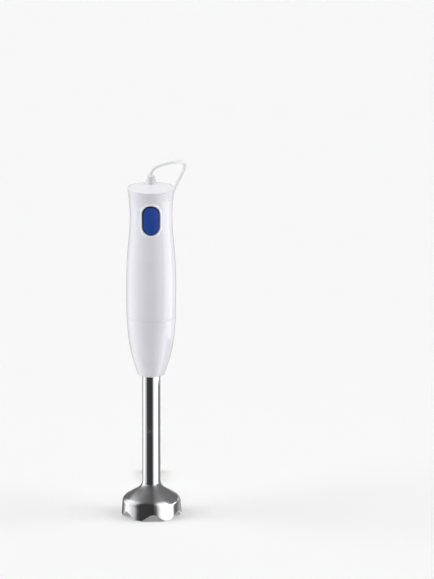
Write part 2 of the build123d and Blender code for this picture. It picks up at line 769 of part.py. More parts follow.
# ======== rotor ========
claw_base_z = seam_z + 0.8
claw_base_height = 4.6
claw_length = 5.2
drive_hub_z = claw_base_z + claw_base_height + 2 * side_gap + claw_length
drive_hub_height = 4.4
shaft_chamfer = 0.4
shaft_end = 1.0              # beyond the upper bush
with BuildPart() as motor_shaft:
    ring(0, motor_shaft_radius, drive_hub_z, upper_bush_z + upper_bush_length + shaft_end - drive_hub_z)
    chamfer(motor_shaft.faces().sort_by(Axis.Z)[-1].edges(), shaft_chamfer)
save(motor_shaft, "motor_shaft")

with BuildPart() as drive_claw:
    ring(motor_shaft_radius + press_gap, claw_outer_radius, drive_hub_z, drive_hub_height)
    for side in (0, 180):
        sector(claw_inner_radius, claw_outer_radius, drive_hub_z - claw_length, claw_length, side, claw_angle)
save(drive_claw, "drive_claw")

fan_z = lower_plate_z + bearing_width + 2.0
fan_height = 7.0
fan_disc = 1.4
fan_hub_radius = 5.5
fan_blade_count = 11
fan_blade_root = fan_hub_radius + 1.0
fan_blade_thickness = 1.0
with BuildPart() as cooling_fan:
    ring(0, fan_radius, fan_z, fan_disc)
    ring(0, fan_hub_radius, fan_z, fan_height)
    for blade in range(fan_blade_count):
        with BuildSketch(turned_plane(blade * 360 / fan_blade_count)):
            with Locations(((fan_radius + fan_blade_root) / 2, fan_z + (fan_height + 1) / 2)):
                Rectangle(fan_radius - fan_blade_root, fan_height - 1)
        extrude(amount=fan_blade_thickness / 2, both=True)
    ring(0, motor_shaft_radius + press_gap, fan_z, fan_height, mode=Mode.SUBTRACT)
save(cooling_fan, "cooling_fan")

slot_count = 12
slot_width = 1.9
slot_depth = 2.85
with BuildPart() as armature_core:
    ring(motor_shaft_radius + press_gap, armature_radius, stator_z, stator_length)
    with BuildSketch(Plane.XY.offset(stator_z)):
        with PolarLocations(armature_radius, slot_count):
            SlotCenterPoint(((slot_width - 2 * slot_depth) / 2, 0), (-0.2, 0), slot_width)
    extrude(amount=stator_length, mode=Mode.SUBTRACT)
save(armature_core, "armature_core")

winding_height = 3.4
with BuildPart() as armature_windings:
    for bottom in (stator_z - winding_height, stator_top_z):
        ring(motor_shaft_radius + 0.4, armature_radius - 1.2, bottom, winding_height)
    fillet(armature_windings.edges().filter_by(GeomType.CIRCLE), winding_height / 3)
save(armature_windings, "armature_windings")

commutator_z = stator_top_z + 8.5
commutator_length = 11.0
segment_gap = 0.45
with BuildPart() as commutator:
    ring(motor_shaft_radius + press_gap, commutator_radius, commutator_z, commutator_length)
    with BuildSketch(Plane.XY.offset(commutator_z)):
        with PolarLocations(commutator_radius, 2 * slot_count):
            Rectangle(1.2, segment_gap)
    extrude(amount=commutator_length, mode=Mode.SUBTRACT)
save(commutator, "commutator")

# ======== detachable shaft ========
cone_floor = 5.0
seam_step = 0.5
with BuildPart() as shaft_cone:
    revolve_under(cone_outline(0))
    fillet(shaft_cone.faces().sort_by(Axis.Z)[0].edges(), cone_end_fillet)
    with BuildSketch(Plane.XZ):
        with BuildLine():
            inner = cone_outline(-cone_wall)
            lower_room = (inner[0][0] + 0.9, cone_bottom_z + cone_floor)
            Spline(lower_room, inner[1], inner[2], inner[3])
            Polyline(inner[3], (0, seam_z), (0, lower_room[1]), lower_room)
        make_face()
    revolve(axis=Axis.Z, mode=Mode.SUBTRACT)
    ring(0, tube_radius + running_gap, cone_bottom_z, cone_floor + 1, mode=Mode.SUBTRACT)
    # step that leaves the fine seam under the handle
    ring(seam_radius - seam_step, beyond, seam_z - seam_step, seam_step, mode=Mode.SUBTRACT)
save(shaft_cone, "shaft_cone")

tube_top_z = seam_z - 10.5
collar_top_z = seam_z - loose_gap
collar_flange_height = 3.3
collar_wall = 2.6
tube_grip = 16.0
shaft_bush_radius = 6.0
with BuildPart() as lock_collar:
    ring(0, seam_radius - cone_wall - 0.6, collar_top_z - collar_flange_height, collar_flange_height)
    ring(0, tube_radius + collar_wall, tube_top_z - tube_grip, collar_top_z - tube_top_z + tube_grip)
    ring(0, neck_outer_radius, collar_top_z, neck_height + loose_gap)
    ring(0, neck_inner_radius, collar_top_z, neck_height + loose_gap, mode=Mode.SUBTRACT)
    ring(0, tube_radius + running_gap, tube_top_z - tube_grip, tube_grip, mode=Mode.SUBTRACT)
    ring(0, shaft_bush_radius, tube_top_z - 0.1, seam_z - tube_top_z, mode=Mode.SUBTRACT)
    for lug in range(lug_count):
        sector(neck_outer_radius - 0.8, lug_radius, seam_z + lug_rise, lug_height, 90 + lug * 360 / lug_count,
               lug_angle)
save(lock_collar, "lock_collar")

with BuildPart() as steel_tube:
    ring(tube_radius - tube_wall, tube_radius, guard_top_z, tube_top_z - guard_top_z)
save(steel_tube, "steel_tube")

flare_turn = atan2(shoulder_radius - tube_radius, flare_base_z - shoulder_z)
flare_radius = 0.999 * (guard_top_z - flare_base_z) / tan(flare_turn / 2)
wave_height = scallop_height + lobe_flat
scallop_wave = [(scallop_half_width * step / 6, wave_height / 2 * (1 + cos(pi * step / 6)) - lobe_flat)
                for step in range(-6, 7)]
with BuildPart() as bell_guard:
    with BuildSketch(Plane.XZ):
        with BuildLine():
            outside = FilletPolyline((tube_radius, guard_top_z), (tube_radius, flare_base_z),
                                     (shoulder_radius, shoulder_z), (skirt_radius, 0),
                                     radius=[flare_radius, shoulder_fillet])
            inside = FilletPolyline((tube_radius - guard_wall, guard_top_z),
                                    (tube_radius - guard_wall, flare_base_z - 0.56 * guard_wall),
                                    (shoulder_radius - 1.05 * guard_wall, shoulder_z - 0.52 * guard_wall),
                                    (skirt_radius - guard_wall, 0),
                                    radius=[flare_radius - 0.8 * guard_wall, shoulder_fillet - guard_wall])
            Line((tube_radius - guard_wall, guard_top_z), (tube_radius, guard_top_z))
            Line((skirt_radius - guard_wall, 0), (skirt_radius, 0))
        make_face()
    revolve(axis=Axis.Z)
    for scallop in range(scallop_count):
        angle = 90 + scallop_turn + scallop * 360 / scallop_count
        outward = Plane(origin=(0, 0, 0), x_dir=(-sin(radians(angle)), cos(radians(angle)), 0),
                        z_dir=(cos(radians(angle)), sin(radians(angle)), 0))
        with BuildSketch(outward.offset(0.8 * shoulder_radius)):
            with BuildLine():
                Spline(*scallop_wave, tangents=[(1, 0), (1, 0)])
                Polyline(scallop_wave[-1], (scallop_half_width, -2), (-scallop_half_width, -2), scallop_wave[0])
            make_face()
        extrude(amount=0.3 * skirt_radius, mode=Mode.SUBTRACT)
save(bell_guard, "bell_guard")

bush_wall = 2.4
hub_bore = drive_radius + bush_wall
hub_top_z = guard_top_z + 9.0
hub_bottom_z = 24.5
hub_boss_radius = 13.4
hub_neck_z = flare_base_z - 1.5
hub_neck_radius = tube_radius - guard_wall - fit_gap
with BuildPart() as guard_hub:
    ring(hub_bore + press_gap, hub_neck_radius, hub_neck_z, hub_top_z - hub_neck_z)
    with BuildSketch(Plane.XZ):
        with BuildLine():
            Polyline((hub_bore + press_gap, hub_bottom_z), (hub_boss_radius - 1.4, hub_bottom_z),
                     (hub_boss_radius, hub_bottom_z + 1.4), (hub_boss_radius, hub_neck_z - 3.3),
                     (hub_neck_radius, hub_neck_z + 0.1), (hub_bore + press_gap, hub_neck_z + 0.1), close=True)
        make_face()
    revolve(axis=Axis.Z)
save(guard_hub, "guard_hub")

seal_height = 4.8
lower_bush_length = 15.0
with BuildPart() as lower_bush:
    ring(drive_radius + running_gap, hub_bore, hub_bottom_z + seal_height + side_gap, lower_bush_length)
save(lower_bush, "lower_bush")

with BuildPart() as shaft_seal:
    ring(drive_radius + 0.08, hub_bore, hub_bottom_z, seal_height)
save(shaft_seal, "shaft_seal")

middle_bush_z = (guard_top_z + tube_top_z) / 2
middle_bush_length = 8.0
with BuildPart() as middle_bush:
    ring(drive_radius + running_gap, tube_radius - tube_wall - fit_gap, middle_bush_z, middle_bush_length)
save(middle_bush, "middle_bush")

with BuildPart() as upper_shaft_bush:
    ring(drive_radius + running_gap, shaft_bush_radius - press_gap, tube_top_z, collar_top_z - tube_top_z)
save(upper_shaft_bush, "upper_shaft_bush")

# ======== blade drive ========
blade_z = 12.0
blade_thickness = 1.2
blade_reach = 24.0
blade_half_chord = 4.5
thread_radius = 2.5
thread_end = 0.8             # beyond the nut
washer_radius = 4.6
washer_thickness = 1.0
nut_radius = 4.6
nut_height = 3.4
shoulder_bottom_z = blade_z + blade_thickness + washer_thickness
thread_end_z = blade_z - nut_height - thread_end
with BuildPart() as drive_shaft:
    ring(0, drive_radius, shoulder_bottom_z, claw_base_z + claw_base_height - shoulder_bottom_z)
    ring(0, thread_radius, thread_end_z, shoulder_bottom_z - thread_end_z)
    chamfer(drive_shaft.faces().sort_by(Axis.Z)[0].edges(), shaft_chamfer)
save(drive_shaft, "drive_shaft")

with BuildPart() as driven_claw:
    ring(drive_radius + press_gap, claw_outer_radius, claw_base_z, claw_base_height)
    for side in (90, 270):
        sector(claw_inner_radius, claw_outer_radius, claw_base_z + claw_base_height, claw_length, side,
               claw_angle)
save(driven_claw, "driven_claw")

wing_root = 6.0
wing_length = blade_reach - wing_root
wing_lean = 12.0
with BuildPart() as cutting_blade:
    with BuildSketch(Plane.XY.offset(blade_z)):
        Circle(wing_root + 0.4)
        Rectangle(2 * wing_root + 1.4, 2 * blade_half_chord)
    extrude(amount=blade_thickness)
    # one wing is bent up and the other down, each about its own root
    for side, lean in ((1, wing_lean), (-1, -wing_lean)):
        bend = Plane(origin=(side * wing_root, 0, blade_z + blade_thickness / 2),
                     x_dir=(side * cos(radians(lean)), 0, sin(radians(lean))),
                     z_dir=(-side * sin(radians(lean)), 0, cos(radians(lean))))
        with BuildSketch(bend):
            with BuildLine():
                Polyline((-0.6, blade_half_chord), (-0.6, -blade_half_chord),
                         (wing_length - 5.0, 0.3 - blade_half_chord))
                ThreePointArc((wing_length - 5.0, 0.3 - blade_half_chord), (wing_length - 0.6, -0.6),
                              (wing_length - 1.8, blade_half_chord + 0.1))
                Line((wing_length - 1.8, blade_half_chord + 0.1), (-0.6, blade_half_chord))
            make_face()
        extrude(amount=blade_thickness / 2, both=True)
    ring(0, thread_radius + running_gap, blade_z - 1, blade_thickness + 2, mode=Mode.SUBTRACT)
save(cutting_blade, "cutting_blade")

with BuildPart() as blade_washer:
    ring(thread_radius + running_gap, washer_radius, blade_z + blade_thickness + press_gap,
         washer_thickness - 2 * press_gap)
save(blade_washer, "blade_washer")

with BuildPart() as blade_nut:
    with BuildSketch(Plane.XY.offset(blade_z - nut_height)):
        RegularPolygon(nut_radius, 6)
        Circle(thread_radius + press_gap, mode=Mode.SUBTRACT)
    extrude(amount=nut_height - press_gap)
save(blade_nut, "blade_nut")

with BuildPart() as retaining_ring:
    ring(drive_radius + press_gap, 5.2, tube_top_z - 4.0, 1.0)
save(retaining_ring, "retaining_ring")
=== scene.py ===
"""Looks of a stick blender: white handle, blue press button, polished shaft, and its cord."""

import logging
import math
from dataclasses import dataclass, field
from enum import Enum
from typing import Callable, Sequence

import bmesh
import bpy
import numpy as np
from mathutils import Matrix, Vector


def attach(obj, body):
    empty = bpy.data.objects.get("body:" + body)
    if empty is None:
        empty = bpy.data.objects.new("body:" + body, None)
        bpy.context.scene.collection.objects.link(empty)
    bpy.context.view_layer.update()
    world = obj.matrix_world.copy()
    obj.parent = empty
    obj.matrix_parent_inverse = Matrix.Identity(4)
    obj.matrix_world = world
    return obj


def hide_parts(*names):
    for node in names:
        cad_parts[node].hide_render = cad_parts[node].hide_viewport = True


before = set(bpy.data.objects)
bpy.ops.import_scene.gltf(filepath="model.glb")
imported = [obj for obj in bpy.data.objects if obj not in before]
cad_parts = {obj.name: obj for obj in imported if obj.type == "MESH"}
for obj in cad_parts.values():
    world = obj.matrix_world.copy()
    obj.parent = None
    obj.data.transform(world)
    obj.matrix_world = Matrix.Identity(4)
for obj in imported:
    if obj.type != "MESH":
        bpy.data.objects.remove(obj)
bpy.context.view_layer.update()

log = logging.getLogger("stick_blender")

Colour = tuple[float, float, float]
Point = tuple[float, float, float]


# ---------------------------------------------------------------- shader helpers


@dataclass
class NodeSketch:
    """Small helper that places, feeds and links nodes in one node tree."""

    tree: bpy.types.NodeTree

    def link(self, source: bpy.types.NodeSocket, target: bpy.types.NodeSocket) -> None:
        """Links two sockets."""
        self.tree.links.new(source, target)

    def feed(self, node: bpy.types.Node, values: dict[str | int, object]) -> None:
        """Gives a node's inputs their values: a socket is linked, anything else is set.

        Args:
            node: the node.
            values: a socket, a number or a tuple for each input, by its name or its place.
        """
        for key, value in values.items():
            if isinstance(value, bpy.types.NodeSocket):
                self.link(value, node.inputs[key])
            else:
                node.inputs[key].default_value = value

    def add(self, kind: str, values: dict[str | int, object] | None = None, **settings: object) -> bpy.types.Node:
        """Adds a node and feeds its inputs; keyword names are its attributes.

        Args:
            kind: Blender's type name of the node.
            values: what its inputs are fed.
            settings: attribute values set on the new node.

        Returns:
            The node.
        """
        node = self.tree.nodes.new(kind)
        for name, value in settings.items():
            setattr(node, name, value)
        self.feed(node, values or {})
        return node

    def maths(self, operation: str, *values: object) -> bpy.types.NodeSocket:
        """Result of a Math node fed by sockets or plain numbers, in order."""
        return self.add("ShaderNodeMath", dict(enumerate(values)), operation=operation).outputs[0]

    def place(self) -> bpy.types.NodeSocket:
        """The shaded point in its object's own frame."""
        return self.add("ShaderNodeTexCoord").outputs["Object"]

    def axes(self) -> bpy.types.NodeOutputs:
        """X, Y and Z of the shaded point."""
        return self.add("ShaderNodeSeparateXYZ", {0: self.place()}).outputs


def new_group(name: str, inputs: dict[str, float], outputs: Sequence[str]) -> tuple:
    """Starts a shader node group whose sockets are all numbers.

    Args:
        name: the group's name.
        inputs: each input's starting value by its name.
        outputs: name of each output.

    Returns:
        A NodeSketch on the group, the sockets of its input node, and its output node.
    """
    group = bpy.data.node_groups.new(name, "ShaderNodeTree")
    for socket_name, value in inputs.items():
        group.interface.new_socket(socket_name, in_out="INPUT", socket_type="NodeSocketFloat").default_value = value
    for socket_name in outputs:
        group.interface.new_socket(socket_name, in_out="OUTPUT", socket_type="NodeSocketFloat")
    sketch = NodeSketch(group)
    return sketch, sketch.add("NodeGroupInput").outputs, sketch.add("NodeGroupOutput")


def moulded_grain_group() -> bpy.types.NodeTree:
    """Fine even grain and slow hand smudges of a moulded surface, as a height and a smudge mask."""
    sketch, entry, leave = new_group(
        "moulded_grain", {"Grain per metre": 2600.0, "Smudge per metre": 34.0}, ["Height", "Smudge"])
    place = sketch.place()
    grain = sketch.add("ShaderNodeTexNoise", {"Detail": 3.0, "Vector": place, "Scale": entry[0]})
    smudge = sketch.add("ShaderNodeTexNoise", {"Detail": 4.0, "Roughness": 0.62, "Vector": place, "Scale": entry[1]})
    band = sketch.add("ShaderNodeMapRange", {"From Min": 0.35, "From Max": 0.7, "Value": smudge.outputs["Fac"]})
    sketch.feed(leave, {"Height": grain.outputs["Fac"], "Smudge": band.outputs["Result"]})
    return sketch.tree


def drawn_line_group() -> bpy.types.NodeTree:
    """Hairlines of worked metal: noise squeezed along one axis, as a line height and a soft cloud mask."""
    sketch, entry, leave = new_group(
        "drawn_lines", {"Across per metre": 4000.0, "Along per metre": 30.0}, ["Line", "Cloud"])
    axes = sketch.axes()
    squeezed = sketch.add("ShaderNodeCombineXYZ", {
        name: sketch.maths("MULTIPLY", axes[name], scale)
        for name, scale in (("X", entry[1]), ("Y", entry[1]), ("Z", entry[0]))})
    line = sketch.add("ShaderNodeTexNoise", {"Scale": 1.0, "Detail": 2.0, "Vector": squeezed.outputs[0]})
    cloud = sketch.add("ShaderNodeTexNoise", {"Scale": 55.0, "Detail": 5.0, "Vector": sketch.place()})
    sketch.feed(leave, {"Line": line.outputs["Fac"], "Cloud": cloud.outputs["Fac"]})
    return sketch.tree


BAND_FADE = 0.0016


def height_band_group() -> bpy.types.NodeTree:
    """Mask of the heights between two levels, with soft ends a few millimetres wide."""
    sketch, entry, leave = new_group("height_band", {"Low": 0.016, "High": 0.034}, ["Mask"])
    height = sketch.axes()["Z"]
    ends = []
    for level, sign in ((entry[0], 1.0), (entry[1], -1.0)):
        gap = sketch.maths("MULTIPLY", sketch.maths("SUBTRACT", height, level), sign)
        ramp = sketch.add("ShaderNodeMapRange", {"From Min": -BAND_FADE, "From Max": BAND_FADE, "Value": gap},
                          interpolation_type="SMOOTHSTEP")
        ends.append(ramp.outputs["Result"])
    sketch.feed(leave, {"Mask": sketch.maths("MULTIPLY", *ends)})
    return sketch.tree


class Effect(Enum):
    """Shared effects that a finish may place in its material."""

    GRAIN = "moulded_grain"
    LINES = "drawn_lines"
    BAND = "height_band"


EFFECT_BUILDERS: dict[Effect, Callable[[], bpy.types.NodeTree]] = {
    Effect.GRAIN: moulded_grain_group,
    Effect.LINES: drawn_line_group,
    Effect.BAND: height_band_group,
}


def effect(sketch: NodeSketch, kind: Effect, first: float, second: float) -> bpy.types.NodeOutputs:
    """Outputs of a shared effect placed with its own two scales; its group is built once."""
    group = bpy.data.node_groups.get(kind.value) or EFFECT_BUILDERS[kind]()
    return sketch.add("ShaderNodeGroup", {0: first, 1: second}, node_tree=group).outputs


def varied_colour(sketch: NodeSketch, mask: bpy.types.NodeSocket, colour: Colour, shade: float) -> bpy.types.NodeSocket:
    """Colour that runs with the mask from its own darker shade, a share of it, to itself."""
    ramp = sketch.add("ShaderNodeValToRGB", {"Fac": mask})
    deep = tuple(part * shade for part in colour)
    for stop, position, tone in zip(ramp.color_ramp.elements, (0.25, 0.8), (deep, colour)):
        stop.position = position
        stop.color = (*tone, 1.0)
    return ramp.outputs["Color"]


def varied_value(sketch: NodeSketch, mask: bpy.types.NodeSocket, low: float, high: float) -> bpy.types.NodeSocket:
    """Number that runs from low to high with the mask."""
    return sketch.add("ShaderNodeMapRange", {"To Min": low, "To Max": high, "Value": mask}).outputs["Result"]


def bump_into(sketch: NodeSketch, height: bpy.types.NodeSocket, shader: bpy.types.Node, strength: float,
              distance: float) -> None:
    """Feeds a height into the shader's normal through a Bump node.

    Args:
        sketch: the material's node sketch.
        height: socket with the height, 0 to 1.
        shader: the Principled BSDF.
        strength: the bump's strength.
        distance: the bump's full height in metres.
    """
    bump = sketch.add("ShaderNodeBump", {"Strength": strength, "Distance": distance, "Height": height})
    sketch.link(bump.outputs["Normal"], shader.inputs["Normal"])


def blank_material(name: str) -> tuple[bpy.types.Material, NodeSketch, bpy.types.NodeSocket]:
    """Starts an empty material and returns it with its node sketch and its surface socket."""
    material = bpy.data.materials.new(name)
    material.use_nodes = True
    material.node_tree.nodes.clear()
    sketch = NodeSketch(material.node_tree)
    return material, sketch, sketch.add("ShaderNodeOutputMaterial").inputs["Surface"]


def start_material(name: str) -> tuple[bpy.types.Material, NodeSketch, bpy.types.Node]:
    """Starts a material and returns it with its node sketch and its Principled BSDF."""
    material, sketch, surface = blank_material(name)
    shader = sketch.add("ShaderNodeBsdfPrincipled")
    sketch.link(shader.outputs["BSDF"], surface)
    return material, sketch, shader


def place_object(name: str, data: bpy.types.ID) -> bpy.types.Object:
    """Makes an object of some data and links it into the scene."""
    made = bpy.data.objects.new(name, data)
    bpy.context.scene.collection.objects.link(made)
    return made


# ---------------------------------------------------------------- finishes

SMUDGE_PER_METRE = 34.0
EDGE_SPECULAR = 0.2


@dataclass(frozen=True)
class PlasticFinish:
    """Moulded plastic: two near colours, a gloss that smudges vary, fine grain, a clear top skin, and at times painted
    shade that darkens the colour along an edge mask.
    """

    name: str
    colour: Colour
    shade: float = 0.95
    gloss: float = 0.25
    smudged: float = 0.34
    grain: float = 2600.0
    grain_depth: float = 0.000012
    grain_strength: float = 0.25
    skin: float = 0.0
    skin_gloss: float = 0.1
    painted_edge_shade: float = 1.0

    def build(self) -> bpy.types.Material:
        """Makes the material."""
        material, sketch, shader = start_material(self.name)
        grain = effect(sketch, Effect.GRAIN, self.grain, SMUDGE_PER_METRE)
        colour = varied_colour(sketch, grain["Smudge"], self.colour, self.shade)
        # painted shade: where the edge mask is set, the colour is multiplied down to stand in for the shade in the gap
        # round the rim
        if self.painted_edge_shade < 1:
            edge = sketch.add("ShaderNodeAttribute", attribute_name="edge").outputs["Fac"]
            dark = (self.painted_edge_shade, self.painted_edge_shade, self.painted_edge_shade, 1.0)
            colour = sketch.add("ShaderNodeMix", {0: edge, 6: colour, 7: dark}, data_type="RGBA",
                                blend_type="MULTIPLY").outputs[2]
            shader.inputs["Specular IOR Level"].default_value = EDGE_SPECULAR
        sketch.feed(shader, {
            "Base Color": colour, "Roughness": varied_value(sketch, grain["Smudge"], self.gloss, self.smudged),
            "IOR": 1.5, "Coat Weight": self.skin, "Coat Roughness": self.skin_gloss})
        bump_into(sketch, grain["Height"], shader, self.grain_strength, self.grain_depth)
        return material


@dataclass(frozen=True)
class MetalFinish:
    """Worked metal: hairlines that vary its gloss, a light cloud in its colour, and at times a duller band."""

    name: str
    colour: Colour
    shade: float = 0.92
    gloss: float = 0.08
    dull: float = 0.16
    across: float = 4000.0
    along: float = 30.0
    line_depth: float = 0.000004
    line_strength: float = 0.2
    satin: float = 0.0
    satin_from: float = 0.0185
    satin_to: float = 0.0335

    def build(self) -> bpy.types.Material:
        """Makes the material."""
        material, sketch, shader = start_material(self.name)
        lines = effect(sketch, Effect.LINES, self.across, self.along)
        gloss = varied_value(sketch, lines["Line"], self.gloss, self.dull)
        if self.satin > 0:
            band = effect(sketch, Effect.BAND, self.satin_from, self.satin_to)
            gloss = sketch.maths("ADD", gloss, sketch.maths("MULTIPLY", band["Mask"], self.satin))
        sketch.feed(shader, {"Base Color": varied_colour(sketch, lines["Cloud"], self.colour, self.shade),
                             "Roughness": gloss, "Metallic": 1.0})
        bump_into(sketch, lines["Line"], shader, self.line_strength, self.line_depth)
        return material


@dataclass(frozen=True)
class StackedSteelFinish:
    """Stacked laminations: thin level bands that darken at each joint between two sheets."""

    name: str
    colour: Colour
    sheet: float = 0.0006

    def build(self) -> bpy.types.Material:
        """Makes the material."""
        material, sketch, shader = start_material(self.name)
        turn = sketch.maths("MULTIPLY", sketch.axes()["Z"], 2 * math.pi / self.sheet)
        mask = sketch.maths("MULTIPLY_ADD", sketch.maths("SINE", turn), 0.5, 0.5)
        sketch.feed(shader, {"Base Color": varied_colour(sketch, mask, self.colour, 0.45),
                             "Roughness": varied_value(sketch, mask, 0.5, 0.32), "Metallic": 0.9})
        bump_into(sketch, mask, shader, 0.5, 0.00008)
        return material


@dataclass(frozen=True)
class WoundWireFinish:
    """Varnished copper winding: fine round wires side by side across the coil's height."""

    name: str
    colour: Colour
    wire: float = 0.0007

    def build(self) -> bpy.types.Material:
        """Makes the material."""
        material, sketch, shader = start_material(self.name)
        wave = sketch.add("ShaderNodeTexWave", {"Scale": 0.3 / self.wire, "Distortion": 0.6, "Vector": sketch.place()},
                          wave_type="BANDS", bands_direction="DIAGONAL").outputs["Fac"]
        sketch.feed(shader, {"Base Color": varied_colour(sketch, wave, self.colour, 0.35),
                             "Roughness": varied_value(sketch, wave, 0.45, 0.25), "Metallic": 0.75})
        bump_into(sketch, wave, shader, 0.8, 0.0002)
        return material


@dataclass(frozen=True)
class SheathFinish:
    """Cable sheath: soft extruded plastic with faint lengthwise streaks and light scuffs."""

    name: str
    colour: Colour
    gloss: float = 0.38
    scuffed: float = 0.52

    def build(self) -> bpy.types.Material:
        """Makes the material."""
        material, sketch, shader = start_material(self.name)
        grain = effect(sketch, Effect.GRAIN, 1500.0, 120.0)
        sketch.feed(shader, {
            "Base Color": varied_colour(sketch, grain["Smudge"], self.colour, 0.94),
            "Roughness": varied_value(sketch, grain["Smudge"], self.gloss, self.scuffed),
            "Sheen Weight": 0.12, "Sheen Roughness": 0.5})
        bump_into(sketch, grain["Height"], shader, 0.3, 0.00002)
        return material


class Look(Enum):
    """Every finish on the object, by the slot of the record that it dresses."""

    WHITE = PlasticFinish("white_plastic", (0.815, 0.81, 0.86), shade=0.985, gloss=0.11, smudged=0.16,
                          grain_strength=0.08)
    PALE = PlasticFinish("pale_plastic", (0.94, 0.94, 0.98), gloss=0.14, smudged=0.2, grain_strength=0.08,
                         skin=0.4, skin_gloss=0.05)
    # the blue button carries painted shade: its colour darkens to a tenth along its rolled edge
    BLUE = PlasticFinish("blue_plastic", (0.014, 0.066, 0.37), shade=0.9, gloss=0.3, smudged=0.4, grain=3400.0,
                         grain_strength=0.3, painted_edge_shade=0.1)
    # the boot's light grey, darker than the cord's white, is partly painted shade of its ribs
    BOOT = PlasticFinish("boot_plastic", (0.76, 0.76, 0.785), gloss=0.42, smudged=0.5, grain_strength=0.3)
    SHEATH = SheathFinish("cord_pvc", (0.92, 0.92, 0.93))
    POLISHED = MetalFinish("polished_steel", (0.93, 0.93, 0.95), shade=0.965, gloss=0.045, dull=0.1,
                           across=5200.0, along=60.0, line_depth=0.0000012, line_strength=0.12)
    GUARD = MetalFinish("guard_steel", (0.93, 0.93, 0.95), shade=0.965, gloss=0.045, dull=0.09, across=5200.0,
                        along=60.0, line_depth=0.0000012, line_strength=0.12, satin=0.1)
    BLADE = MetalFinish("blade_steel", (0.62, 0.62, 0.64), gloss=0.2, dull=0.34, across=700.0, along=2600.0)
    SCREW = MetalFinish("screw_steel", (0.55, 0.55, 0.56), gloss=0.25, dull=0.4)
    BRASS = MetalFinish("plug_brass", (0.78, 0.64, 0.36), gloss=0.22, dull=0.34, across=900.0, along=2500.0)
    NYLON = PlasticFinish("black_nylon", (0.045, 0.045, 0.05), gloss=0.42, smudged=0.55, grain=2000.0)
    GREY_NYLON = PlasticFinish("grey_nylon", (0.3, 0.3, 0.31), gloss=0.4, smudged=0.52, grain=2000.0)
    BRONZE = MetalFinish("sintered_bronze", (0.5, 0.34, 0.18), gloss=0.42, dull=0.6, across=2600.0, along=2600.0,
                         line_depth=0.00003, line_strength=0.5)
    RUBBER = PlasticFinish("black_rubber", (0.028, 0.028, 0.03), gloss=0.6, smudged=0.72, grain=1800.0,
                           grain_depth=0.00003)
    CORE = StackedSteelFinish("core_steel", (0.32, 0.32, 0.33))
    COPPER = WoundWireFinish("copper", (0.72, 0.30, 0.13))
    CARBON = PlasticFinish("carbon", (0.035, 0.035, 0.037), gloss=0.55, smudged=0.7, grain=3000.0)
    BOARD = PlasticFinish("board", (0.03, 0.17, 0.07), gloss=0.25, smudged=0.36, grain=1500.0)
    SWITCH = PlasticFinish("switch_black", (0.03, 0.03, 0.032), gloss=0.35, smudged=0.48)
    PLUNGER = PlasticFinish("plunger_red", (0.42, 0.035, 0.025), gloss=0.3, smudged=0.42)
    CAPACITOR = PlasticFinish("capacitor_yellow", (0.66, 0.48, 0.06), gloss=0.26, smudged=0.38)
    WIRE = SheathFinish("wire_sheath", (0.2, 0.09, 0.05))

    def material(self) -> bpy.types.Material:
        """The finish's material, built the first time."""
        name = "look_" + self.value.name
        made = bpy.data.materials.get(name) or self.value.build()
        made.name = name
        return made

    @property
    def slot_name(self) -> str:
        """The record's material slot."""
        shared = {Look.BOOT: Look.SHEATH, Look.GUARD: Look.POLISHED}
        return shared.get(self, self).value.name


# ---------------------------------------------------------------- surfaces


def grid_quads(rows: int, columns: int, closed: bool = True) -> np.ndarray:
    """Corners of the quads between neighbours of a grid whose points are numbered row by row.

    Args:
        rows: number of rows.
        columns: number of columns.
        closed: whether the last column joins the first.

    Returns:
        Array (rows - 1, columns or columns - 1, 4) of point numbers.
    """
    index = np.arange(rows * columns).reshape(rows, columns)
    beside = np.roll(index, -1, axis=1) if closed else index[:, 1:]
    here = index if closed else index[:, :-1]
    return np.stack([here[:-1], beside[:-1], beside[1:], here[1:]], axis=-1)


@dataclass
class Surface:
    """Quads over one or more grids of points, gathered into one mesh."""

    points: list[np.ndarray] = field(default_factory=list)
    quads: list[np.ndarray] = field(default_factory=list)
    count: int = 0

    def grid(self, points: np.ndarray, keep: np.ndarray | None = None) -> None:
        """Adds a grid of points whose last column joins its first, and the quads between neighbours.

        Args:
            points: the grid, of shape (rows, columns, 3).
            keep: mask of the quads to keep, of shape (rows - 1, columns).
        """
        rows, columns = points.shape[:2]
        quads = grid_quads(rows, columns) + self.count
        self.points.append(points.reshape(-1, 3))
        self.quads.append((quads if keep is None else quads[keep]).reshape(-1, 4))
        self.count += rows * columns

    def build(self, name: str, look: Look, crease: float = 35.0) -> bpy.types.Object:
        """Makes the object: merges touching points, turns faces outwards and shades smoothly.

        Args:
            name: the piece's name.
            look: its finish.
            crease: angle in degrees above which an edge stays sharp.

        Returns:
            The new object, at the origin.
        """
        mesh = bpy.data.meshes.new(name)
        points = np.concatenate(self.points)
        quads = np.concatenate(self.quads)
        mesh.vertices.add(len(points))
        mesh.vertices.foreach_set("co", points.astype(np.float32).ravel())
        mesh.loops.add(quads.size)
        mesh.loops.foreach_set("vertex_index", quads.astype(np.int32).ravel())
        mesh.polygons.add(len(quads))
        mesh.polygons.foreach_set("loop_start", np.arange(0, quads.size, 4, dtype=np.int32))
        mesh.update(calc_edges=True)
        work = bmesh.new()
        work.from_mesh(mesh)
        bmesh.ops.remove_doubles(work, verts=work.verts, dist=1e-6)
        bmesh.ops.dissolve_degenerate(work, edges=work.edges, dist=1e-7)
        bmesh.ops.recalc_face_normals(work, faces=work.faces)
        work.to_mesh(mesh)
        work.free()
        mesh.shade_smooth()
        mesh.set_sharp_from_angle(angle=math.radians(crease))
        piece = place_object(name, mesh)
        mesh.materials.append(look.material())
        return piece


